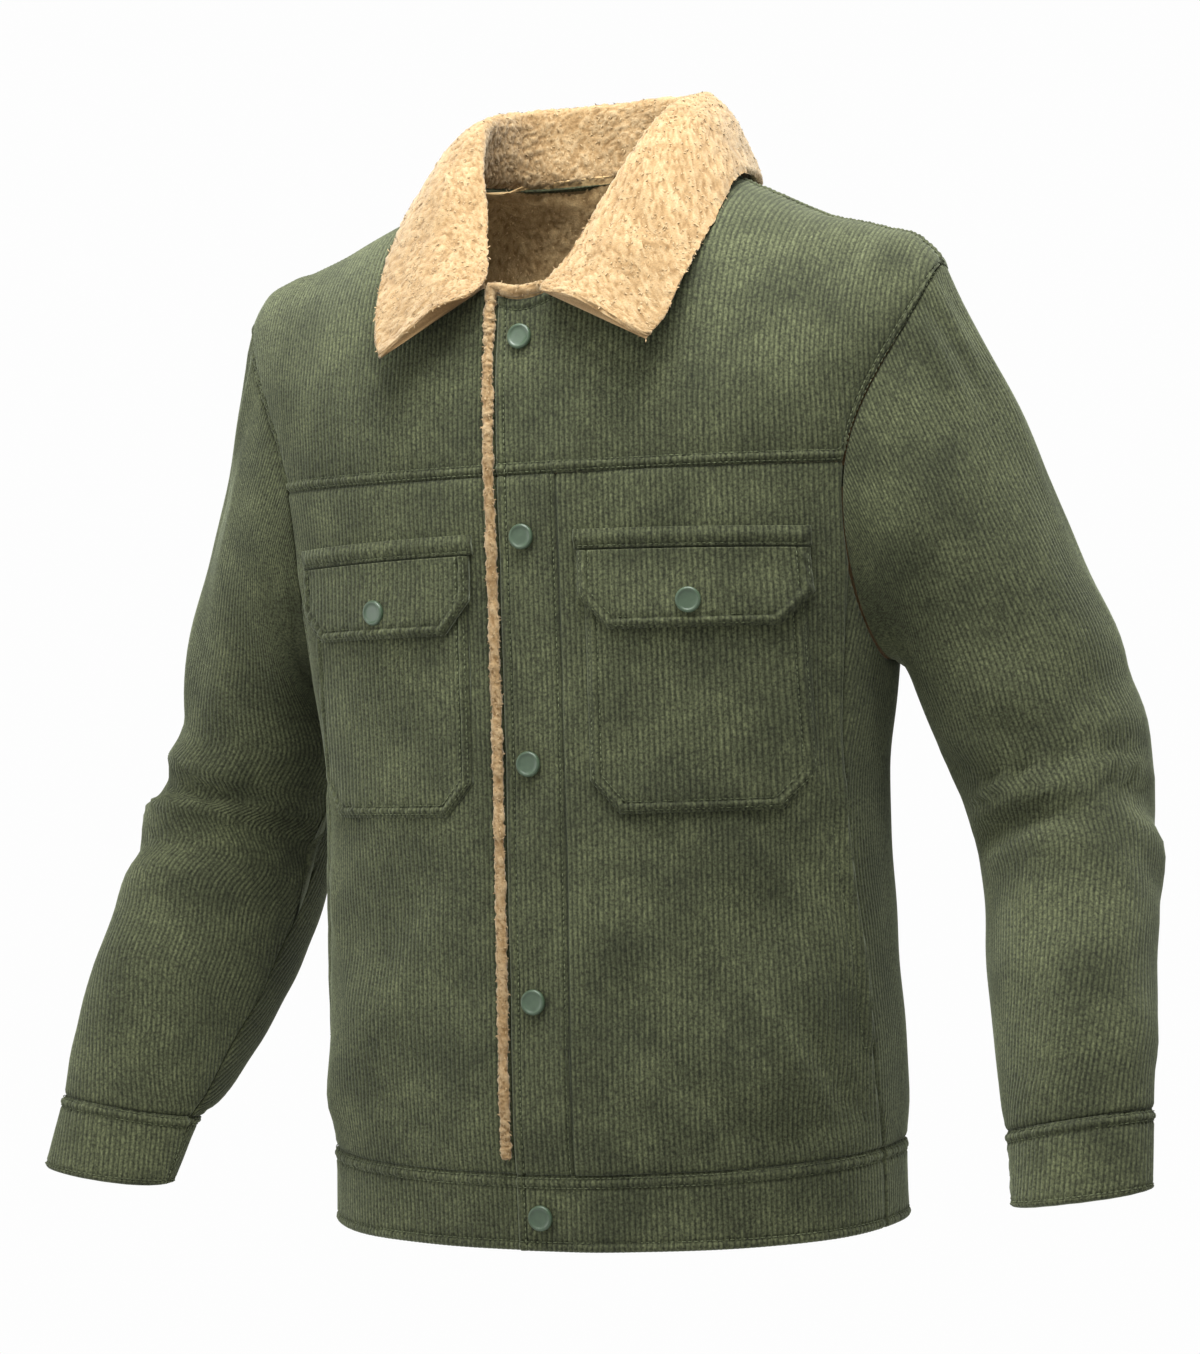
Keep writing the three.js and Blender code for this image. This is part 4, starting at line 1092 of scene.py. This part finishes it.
def thread_mesh():
    starts, ends, ways = [], [], []
    for points, normals in stitch_lines:
        walked = lengths_along(points)
        for at in np.arange(1.0, walked[-1] - STITCH_LENGTH, STITCH_STEP):
            pair = [[np.interp(place, walked, points[:, axis]) for axis in range(3)]
                    for place in (at, at + STITCH_LENGTH)]
            middle = [np.interp(at + STITCH_LENGTH / 2, walked, normals[:, axis]) for axis in range(3)]
            starts.append(pair[0])
            ends.append(pair[1])
            ways.append(middle)
    starts, ends, ways = np.array(starts), np.array(ends), unit(np.array(ways))
    along = unit(ends - starts)
    side = unit(np.cross(along, ways))
    up = np.cross(side, along)
    rings = []
    for part, size, rise in ((0, 0.5, -0.3), (0.5, 1.1, 0.1), (1, 0.5, -0.3)):
        centre = lerp(starts, ends, part) + up * rise
        for corner in range(4):
            angle = math.pi / 4 + corner * math.pi / 2
            rings.append(centre + (side * math.cos(angle) + up * math.sin(angle)) * THREAD_RADIUS * size)
    points = np.stack(rings, 1).reshape(-1, 3)
    sides = np.roll(tube_faces(3, 4)[:, ::-1], 1, axis=1)
    shape = [*sides.tolist(), (3, 2, 1, 0), (8, 9, 10, 11)]
    faces = (np.array(shape)[None] + np.arange(len(starts))[:, None, None] * 12).reshape(-1, 4)
    finish_piece(mesh_object("seam_stitches", points, faces.tolist(), [THREAD]), None)


# Materials
def ramp(nodes, links, source, stops):
    node = nodes.new("ShaderNodeValToRGB")
    elements = node.color_ramp.elements
    while len(elements) < len(stops):
        elements.new(0.5)
    for element, (place, colour) in zip(elements, stops):
        element.position = place
        element.color = (*colour, 1)
    links.new(source, node.inputs["Fac"])
    return node.outputs["Color"]


def grey(value):
    return (value, value, value)


class Look:
    """A material in the making: its nodes, its shader and its colour so far."""

    def __init__(self, name):
        self.material = bpy.data.materials.new(name)
        self.material.use_nodes = True
        self.nodes, self.links = self.material.node_tree.nodes, self.material.node_tree.links
        self.shader = self.nodes["Principled BSDF"]
        self.object_place = self.nodes.new("ShaderNodeTexCoord").outputs["Object"]

    def noise(self, scale, detail, place=None):
        texture = self.nodes.new("ShaderNodeTexNoise")
        texture.inputs["Scale"].default_value = scale
        texture.inputs["Detail"].default_value = detail
        self.links.new(self.object_place if place is None else place, texture.inputs["Vector"])
        return texture.outputs["Fac"]

    def cloth_place(self, stretch):
        """Places on the flat cloth, stretched across and along the wales."""
        cloth = self.nodes.new("ShaderNodeUVMap")
        cloth.uv_map = "cloth"
        mapping = self.nodes.new("ShaderNodeMapping")
        mapping.inputs["Scale"].default_value = stretch
        self.links.new(cloth.outputs["UV"], mapping.inputs["Vector"])
        return mapping.outputs["Vector"]

    def hollow_shade(self):
        """How much painted shade a spot gets: deep in a groove, a seam's crevice, between curls or at a
        tuft's root.
        """
        node = self.nodes.new("ShaderNodeAttribute")
        node.attribute_name = "groove"
        return node.outputs["Fac"]

    def ramp(self, source, *stops):
        return ramp(self.nodes, self.links, source, stops)

    def tint(self, source, *stops):
        """Multiplies the colour by a ramp over the source."""
        node = self.nodes.new("ShaderNodeMix")
        node.data_type = "RGBA"
        node.blend_type = "MULTIPLY"
        node.inputs["Factor"].default_value = 1.0
        self.links.new(self.colour, node.inputs["A"])
        self.links.new(self.ramp(source, *stops), node.inputs["B"])
        self.colour = node.outputs["Result"]

    def bump(self, scale, strength, distance):
        node = self.nodes.new("ShaderNodeBump")
        node.inputs["Strength"].default_value = strength
        node.inputs["Distance"].default_value = distance
        self.links.new(self.noise(scale, 3), node.inputs["Height"])
        self.links.new(node.outputs["Normal"], self.shader.inputs["Normal"])

    def finished(self, settings):
        self.links.new(self.colour, self.shader.inputs["Base Color"])
        for name, value in settings.items():
            self.shader.inputs[name].default_value = value
        return self.material


def cord_material(name, crown, groove, sheen):
    look = Look(name)
    # The grooves, seam crevices and stitch channels are painted darker towards the groove colour, as shade.
    between = tuple(lerp(np.array(crown), np.array(groove), 0.35))
    look.colour = look.ramp(look.hollow_shade(), (0.0, crown), (0.4, between), (1.0, groove))
    look.tint(look.noise(620, 3), (0.32, grey(0.42)), (0.68, grey(1.58)))
    look.tint(look.noise(1.0, 3, look.cloth_place((700, 110, 1))), (0.3, grey(0.72)), (0.7, grey(1.28)))
    look.tint(look.noise(26, 5), (0.35, (0.74, 0.75, 0.72)), (0.65, (1.26, 1.26, 1.24)))
    look.bump(1500, 0.35, 0.0005)
    return look.finished({"Roughness": 0.92, "Specular IOR Level": 0.25, "Sheen Weight": sheen,
                          "Sheen Roughness": 0.45, "Sheen Tint": (0.72, 0.80, 0.58, 1)})


def fleece_material(name, top, middle, deep):
    look = Look(name)
    # The crevices between curls and the roots of the tufts are painted darker towards the deep colour, as
    # shade.
    look.colour = look.ramp(look.hollow_shade(), (0.0, top), (0.45, middle), (1.0, deep))
    look.tint(look.noise(900, 4), (0.3, grey(0.8)), (0.7, grey(1.16)))
    look.tint(look.noise(45, 3), (0.35, (0.88, 0.85, 0.80)), (0.65, grey(1.08)))
    look.bump(700, 0.5, 0.0008)
    return look.finished({"Roughness": 0.95, "Specular IOR Level": 0.2, "Sheen Weight": 0.3,
                          "Sheen Tint": (1.0, 0.92, 0.75, 1)})


def painted_material():
    look = Look("painted_snap")
    wear = look.noise(260, 4)
    look.colour = look.ramp(wear, (0.3, (0.030, 0.056, 0.028)), (0.7, (0.044, 0.076, 0.040)))
    rough = look.ramp(wear, (0.3, grey(0.38)), (0.7, grey(0.52)))
    look.links.new(rough, look.shader.inputs["Roughness"])
    look.bump(900, 0.12, 0.0003)
    return look.finished({"Coat Weight": 0.25, "Coat Roughness": 0.3})


# Crown colour, then the darker groove colour painted into the grooves and seam channels as shade, then the
# sheen.
CORDUROY = cord_material("corduroy", (0.061, 0.068, 0.034), (0.023, 0.026, 0.012), 0.28)
THREAD = cord_material("sewing_thread", (0.085, 0.097, 0.052), (0.03, 0.036, 0.02), 0.1)
# Top, middle, and the deep colour that is painted into the crevices as shade.
LINING_CLOTH = fleece_material("lining_cloth", (0.22, 0.155, 0.075), (0.19, 0.13, 0.06), (0.12, 0.08, 0.035))
FLEECE = fleece_material("fleece", (0.35, 0.255, 0.14), (0.28, 0.185, 0.088), (0.15, 0.082, 0.028))
LINING_FLEECE = fleece_material("lining_fleece", (0.56, 0.40, 0.20), (0.44, 0.30, 0.14), (0.22, 0.13, 0.05))
SNAP_PAINT = painted_material()


# Fleece
def curl_height(points, seed):
    """Lumps and curls of the fleece over its base, and how deep each spot lies between them, which is painted
    as shade in the crevices.
    """
    heights, creases = np.empty(len(points)), np.empty(len(points))
    shift = Vector((seed * 7.1, seed * 3.3, seed * 5.7))
    for index, point in enumerate(points):
        spot = Vector(point)
        bend = noise.noise_vector(spot / 9.0 + shift) * 2.6
        lump = noise.noise(spot / 14.0 + shift)
        curl = min(1.0, abs(noise.noise((spot + bend) / 4.2 + shift)) * 2.6)
        fine = min(1.0, abs(noise.noise((spot + bend) / 2.2 - shift)) * 2.6)
        heights[index] = 1.0 * lump + 1.1 * curl + 0.6 * fine
        creases[index] = 1 - min(1.0, 0.62 * curl + 0.5 * fine)
    return heights, creases


def tube_faces(rings, around):
    ids = np.arange(rings * around).reshape(rings, around)
    return faces_of(np.concatenate([ids, ids[:, :1]], axis=1))


def fleece_mesh(name, rings, material, seed, sink=1.4):
    """A closed sweep of rings whose surface is worked up into curls."""
    rings = np.asarray(rings)
    count, around = rings.shape[:2]
    ahead = np.roll(rings, -1, axis=1) - np.roll(rings, 1, axis=1)
    along = np.gradient(rings, axis=0)
    normals = unit(np.cross(along, ahead))
    centre = rings.mean(axis=1, keepdims=True)
    if ((rings - centre) * normals).sum() < 0:
        normals = -normals
    flat, ways = rings.reshape(-1, 3), normals.reshape(-1, 3)
    height, crevice_shade = curl_height(flat, seed)
    points = flat + ways * (height - sink)[:, None]
    quads = oriented(tube_faces(count, around), points, ways, 1)
    last = (count - 1) * around
    loops = [list(range(around)), list(range(last, last + around))]
    caps = [loop if outward_cap(loop, quads) else loop[::-1] for loop in loops]
    piece = mesh_object(name, points, quads.tolist() + caps, [material], groove=crevice_shade)
    return piece, points, ways, quads


def outward_cap(loop, quads):
    """Whether a cap walks its edge the other way round from the faces beside it."""
    beside = quads[np.isin(quads, loop[:2]).sum(1) == 2]
    edges = {(int(a), int(b)) for quad in beside for a, b in zip(quad, np.roll(quad, -1))}
    return (loop[1], loop[0]) in edges


def add_tufts(name, points, normals, quads, count, length, seed, gravity, material=FLEECE):
    """Small curled locks that stand on the fleece, each a tapered ribbon."""
    rng = np.random.default_rng(seed)
    area = np.linalg.norm(face_vectors(quads, points), axis=1)
    picked = rng.choice(len(quads), count, p=area / area.sum())
    mix = rng.dirichlet(np.ones(4), count)
    base = (points[quads[picked]] * mix[..., None]).sum(1)
    way = unit((normals[quads[picked]] * mix[..., None]).sum(1))
    lean = unit(rng.normal(size=(count, 3)) + np.array([0, 0, -gravity]))
    lean = unit(lean - way * (lean * way).sum(1, keepdims=True))
    side = np.cross(way, lean)
    size = length * rng.uniform(0.6, 1.25, count)[:, None]
    twist = rng.uniform(-0.8, 0.8, count)[:, None]
    rows = []
    angle = rng.uniform(0.7, 1.1, count)[:, None]
    bend = rng.uniform(0.8, 1.5, count)[:, None]
    spot = base - way * 0.5
    for step in range(4):
        width = 0.5 * (1 - (step / 3.6) ** 2) * (0.8 + 0.4 * rng.random(count)[:, None])
        rows.append(spot - side * width)
        rows.append(spot + side * width)
        heading = way * np.cos(angle) + lean * np.sin(angle)
        spot = spot + heading * size / 3 + side * twist * 0.4
        angle = angle + bend / 3
    ribbon = np.stack(rows, 1).reshape(-1, 3)
    shape = np.array([(2 * row, 2 * row + 1, 2 * row + 3, 2 * row + 2) for row in range(3)])
    faces = (shape[None] + np.arange(count)[:, None, None] * 8).reshape(-1, 4)
    # Each ribbon is painted darker towards its root, as shade among the fibres.
    shade = np.tile(np.repeat([0.4, 0.2, 0.05, 0.0], 2), count) * np.repeat(rng.uniform(0.5, 1.1, count), 8)
    return mesh_object(name, ribbon, faces.tolist(), [material], groove=shade)


def centripetal(points, places):
    """Points on a smooth curve through a few others, spaced by the roots of their distances."""
    count = len(points) - 1
    result = []
    for place in places:
        at = place * count
        index = min(int(at), count - 1)
        part = at - index
        p1, p2 = points[index], points[index + 1]
        p0 = points[index - 1] if index > 0 else 2 * points[0] - points[1]
        p3 = points[index + 2] if index + 2 <= count else 2 * points[count] - points[count - 1]
        d0, d1, d2 = (max(np.linalg.norm(b - a), 1e-4) ** 0.5 for a, b in ((p0, p1), (p1, p2), (p2, p3)))
        slope_1 = ((p1 - p0) / d0 - (p2 - p0) / (d0 + d1) + (p2 - p1) / d1) * d1
        slope_2 = ((p2 - p1) / d1 - (p3 - p1) / (d1 + d2) + (p3 - p2) / d2) * d1
        result.append(hermite(p1, slope_1, p2, slope_2, part))
    return np.array(result)


COLLAR_STEPS, COLLAR_EDGE_ROUND = 78, 5.5


def collar_section(place, side):
    """A ring around the collar's thickness, from the neck seam over the fold to the free edge."""
    row = curve_through(COLLAR_ROWS, np.array(place, float))
    share = place / (len(COLLAR_ROWS) - 1)
    end_x = COLLAR_END_X[side]
    front_turn = float(turn_at_x(end_x, NECK))
    point, normal = body_point(lerp(180.0, front_turn, share), float(NECK))
    seam = point - normal * 2 + np.array([0, 0, COLLAR_LIFT])
    fold_x = max(row[0], end_x) if share > 0.5 else row[0]
    fold, edge = np.array([fold_x, row[1], row[2]]), row[3:6]
    outward = unit(np.array([fold[0], fold[1] - 10, 0]))
    belly = lerp(fold, edge, 0.3) + outward * COLLAR_PUFF + np.array([0, 0, COLLAR_PUFF])
    guide = np.array([seam, lerp(seam, fold, 0.6), fold, belly, edge])
    middle = centripetal(guide, np.linspace(0, 1, COLLAR_STEPS))
    plane = unit(np.cross(fold - seam, edge - fold))
    across = unit(np.cross(np.gradient(middle, axis=0), plane))
    walked = lengths_along(middle)
    from_edge = np.minimum(np.minimum(walked, walked[-1] - walked) / COLLAR_EDGE_ROUND, 1)
    half = COLLAR_HALF * np.sqrt(np.clip(1 - (1 - from_edge) ** 2, 0.02, 1))
    half = half * lerp(0.25, 1, float(smooth(np.array((1 - share) * 250.0), -2, 9)))
    outer, inner = middle + across * half[:, None], middle - across * half[:, None]
    return np.concatenate([outer, inner[::-1]]) * np.array([side, 1, 1])


def add_collar():
    span = len(COLLAR_ROWS) - 1
    shares = np.concatenate([np.linspace(0, 0.96, 150)[1:], 0.96 + 0.04 * np.linspace(0, 1, 12)[1:]])
    left = [collar_section(share * span, 1) for share in shares]
    right = [collar_section(share * span, -1) for share in shares][::-1]
    rings = np.array([*right, collar_section(0, 1), *left])
    piece, points, ways, quads = fleece_mesh("collar_fleece", rings, FLEECE, 3)
    pile = add_tufts("collar_pile", points, ways, quads, 10000, 2.6, 71, 0.6)
    finish_piece(piece, "collar")
    finish_piece(pile, None)


ROLL_X, ROLL_HALF_WIDTH, ROLL_HALF_DEPTH = -20.4, 3.6, 2.4
ROLL_BOTTOM, ROLL_TOP, ROLL_NECK_END = 1.25, NECK - 0.08, 15


def add_edge_roll():
    """The fleece roll up the lap's edge, and from its top across to the collar's end."""
    places = [(ROLL_X, lerp(ROLL_BOTTOM, ROLL_TOP, part), 1, 0) for part in np.linspace(0, 1, 360)]
    places += [(ROLL_X + 1.2 * part, ROLL_TOP + 0.2 * part, lerp(1, 0.7, part), 0.7 * part)
               for part in np.linspace(0, 1, 4)[1:]]
    places += [(lerp(ROLL_X + 4, ROLL_NECK_END, part), NECK + 0.19, 0, 1) for part in np.linspace(0.1, 1, 20)]
    angles = np.linspace(0, 2 * np.pi, 15)[:-1]
    rings = []
    for place_x, level, across, up in places:
        safe = min(level, NECK)
        point, normal = body_point(float(turn_at_x(place_x, safe)), safe, ROLL_HALF_DEPTH * 0.4, True)
        rise = np.array([0, 0, max(0, level - NECK) * 24])
        width = unit(np.array([across, 0, -up], float))
        size = 0.35 if not rings or len(rings) == len(places) - 1 else 1.0
        rings.append(point + rise + size * (width * (ROLL_HALF_WIDTH * np.cos(angles))[:, None]
                                            + normal * (ROLL_HALF_DEPTH * np.sin(angles))[:, None]))
    piece, points, ways, quads = fleece_mesh("edge_roll_fleece", rings, FLEECE, 5, 1.1)
    pile = add_tufts("edge_roll_pile", points, ways, quads, 2200, 2.2, 72, 0.3)
    finish_piece(piece, "edge_roll")
    finish_piece(pile, None)


# The lining's lower edge, as a level of the body, and how far its top goes up under the collar.
LINING_LOW, LINING_RISE = 6.42, 6.0


def add_lining():
    """The fleece inside the back of the neck, down from the neck seam."""
    high_end = float(np.interp(150, BACK.high_x, BACK.high_u))
    columns = np.linspace(-high_end, high_end, 170)
    panel = body_panel(BACK, columns, even(LINING_LOW), BACK_YOKE_TOP, 60, 81, True)
    points, normals = body_point(panel.turn, panel.level, -CLOTH - 0.5)
    flat, ways = points.reshape(-1, 3), normals.reshape(-1, 3)
    height, crevice_shade = curl_height(flat, 9)
    worked = flat - ways * (1.6 + height * 0.7)[:, None]
    from_top = (panel.length[:, None] - panel.rows).ravel()
    under_collar = 1 - smooth(np.abs(flat[:, 0]), 60, 78)
    worked[:, 2] += LINING_RISE * (1 - smooth(from_top, 0, 14)) * under_collar
    ids = ids_for(panel)
    piece = cloth_mesh("neck_lining_fleece", [ids], [inner_columns(len(panel.u), 4)], worked, -ways,
                       panel_uv(panel), crevice_shade, [LINING_FLEECE, LINING_FLEECE], 1.2)
    finish_piece(piece, "neck_lining")
    quads = oriented(faces_of(ids), worked, -ways, 1)
    pile = add_tufts("neck_lining_pile", worked, -ways, quads, 4000, 2.4, 73, 0.8, LINING_FLEECE)
    finish_piece(pile, None)
    flat = (round(2 * high_end * MM, 3), round(float(panel.length.max()) * MM, 3))
    area = round(float(np.trapz(panel.length, panel.u)) * MM * MM, 4)


# Snaps: radius and height of each ring of a cap, from the middle of its top to the back.
SNAP_AROUND, SNAP_SHRINK = 44, 0.93
SNAP_PROFILE = np.array([
    [0.0, 2.55], [2.0, 2.58], [4.2, 2.62], [5.6, 2.7], [6.1, 2.86], [6.5, 3.18], [7.0, 3.34], [7.5, 3.3],
    [8.0, 3.0], [8.4, 2.4], [8.5, 1.7], [8.45, 0.9], [8.2, 0.35], [7.4, 0.1], [0.0, 0.0],
])


def add_snap(name, x, z, lift, side):
    turn, level = place_on_front(np.array(float(x)), np.array(float(z)))
    point, normal = body_point(turn, level, lift, side > 0)
    steps = range(SNAP_AROUND)
    angles = np.arange(SNAP_AROUND) * 2 * np.pi / SNAP_AROUND
    rings = [np.stack([radius * np.cos(angles), radius * np.sin(angles), np.full(SNAP_AROUND, height)], -1)
             for radius, height in SNAP_PROFILE[1:-1] * [SNAP_SHRINK, 1]]
    local = np.concatenate([[[0, 0, SNAP_PROFILE[0][1]]], *rings, [[0, 0, 0]]])
    turn_to = np.array(Vector((0, 0, 1)).rotation_difference(Vector(normal)).to_matrix())
    points = local @ turn_to.T + point
    base, end = 1 + (len(rings) - 1) * SNAP_AROUND, len(points) - 1
    faces = [(0, 1 + step, 1 + (step + 1) % SNAP_AROUND) for step in steps]
    faces += (1 + tube_faces(len(rings), SNAP_AROUND)).tolist()
    faces += [(base + step, end, base + (step + 1) % SNAP_AROUND) for step in steps]
    piece = mesh_object(f"{name}_cap", points, faces, [SNAP_PAINT])
    finish_piece(piece, name)


def add_snaps():
    for index, z in enumerate(SNAP_HEIGHTS):
        add_snap(f"snap_{index + 1}", SNAP_X, z, 0.3, 1)
    for side, word in ((1, "left"), (-1, "right")):
        add_snap(f"flap_snap_{word}", side * FLAP_SNAP[0], FLAP_SNAP[1], FLAP_TOP_LIFT + 2.0, side)


# Camera, floor and light
CAMERA_TURN = 23
CAMERA_DISTANCE = 2.35
CAMERA_HEIGHT = -0.329
CAMERA_LENS, CAMERA_ROLL = 96.85, -2.0
PHOTO_HEIGHT, SHIFT_PIXELS = 1354, -3
FLOOR_HEIGHT, FLOOR_RADIUS, FLOOR_SIDES = -1480, 3400, 48
# How high each brightness of the room lies, as the sine of its angle over the horizon.
ROOM_BANDS = ((0.0, 0.985), (0.2, 0.985), (0.3, 0.25), (0.6, 0.25), (0.95, 1.0))


def add_camera():
    angle = math.radians(CAMERA_TURN)
    toward = Vector((math.sin(angle), -math.cos(angle), 0))
    data = bpy.data.cameras.new("camera")
    data.sensor_width = 36
    data.lens = CAMERA_LENS
    data.shift_x = SHIFT_PIXELS / PHOTO_HEIGHT
    camera = bpy.data.objects.new("camera", data)
    camera.location = toward * CAMERA_DISTANCE + Vector((0, 0, CAMERA_HEIGHT))
    look = (-toward).to_track_quat("-Z", "Y").to_matrix().to_4x4()
    roll = Matrix.Rotation(math.radians(CAMERA_ROLL), 4, "Z")
    camera.matrix_world = Matrix.Translation(camera.location) @ look @ roll
    bpy.context.scene.collection.objects.link(camera)
    bpy.context.scene.camera = camera
    return toward


def add_light(name, place, aim, size, power, spread=180):
    data = bpy.data.lights.new(name, "AREA")
    data.size = size
    data.energy = power
    data.spread = math.radians(spread)
    light = bpy.data.objects.new(name, data)
    light.location = place
    light.visible_camera = False
    light.rotation_euler = (aim - place).to_track_quat("-Z", "Y").to_euler()
    bpy.context.scene.collection.objects.link(light)


def add_studio(toward):
    """A softbox over the shoulders and weaker ones before, beside and behind, in a white room."""
    right = Vector((-toward.y, toward.x, 0))
    chest, shoulders = Vector((0, 0, -0.30)), Vector((0, 0, -0.05))
    overhead = shoulders + toward * 0.42 + right * 0.06 + Vector((0, 0, 0.95))
    add_light("overhead", overhead, shoulders, 0.9, 40)
    key = chest + toward * 1.4 - right * 1.3 + Vector((0, 0, 1.3))
    add_light("key", key, chest - right * 0.12 + Vector((0, 0, 0.05)), 0.9, 2.0, 60)
    add_light("side", chest - right * 2.0 + toward * 0.3 + Vector((0, 0, 0.2)), chest, 1.2, 11)
    add_light("back", chest - toward * 1.6 + right * 0.4 + Vector((0, 0, 0.5)), chest, 1.2, 4)
    add_room()
    add_floor()


def add_room():
    """White walls as high as the view, a dimmer band over them and a bright ceiling."""
    world = bpy.data.worlds.new("studio")
    world.use_nodes = True
    nodes, links = world.node_tree.nodes, world.node_tree.links
    direction = nodes.new("ShaderNodeTexCoord")
    parts = nodes.new("ShaderNodeSeparateXYZ")
    links.new(direction.outputs["Generated"], parts.inputs["Vector"])
    walls = ramp(nodes, links, parts.outputs["Z"], [(place, grey(value)) for place, value in ROOM_BANDS])
    links.new(walls, nodes["Background"].inputs["Color"])
    bpy.context.scene.world = world
    bpy.context.scene.view_settings.view_transform = "Standard"


def add_floor():
    angles = [2 * math.pi * step / FLOOR_SIDES for step in range(FLOOR_SIDES)]
    rim = [(FLOOR_RADIUS * math.cos(angle), FLOOR_RADIUS * math.sin(angle), FLOOR_HEIGHT) for angle in angles]
    faces = [(0, 1 + step, 1 + (step + 1) % FLOOR_SIDES) for step in range(FLOOR_SIDES)]
    look = Look("pale_floor")
    look.colour = look.ramp(look.noise(3, 2), (0.3, grey(0.88)), (0.7, grey(0.90)))
    mesh_object("floor", [(0, 0, FLOOR_HEIGHT), *rim], faces, [look.finished({"Roughness": 0.8})])


add_fronts()
add_waistbands()
add_back()
add_sleeves()
add_pockets()
add_collar()
add_edge_roll()
add_lining()
add_snaps()
thread_mesh()
add_studio(add_camera())
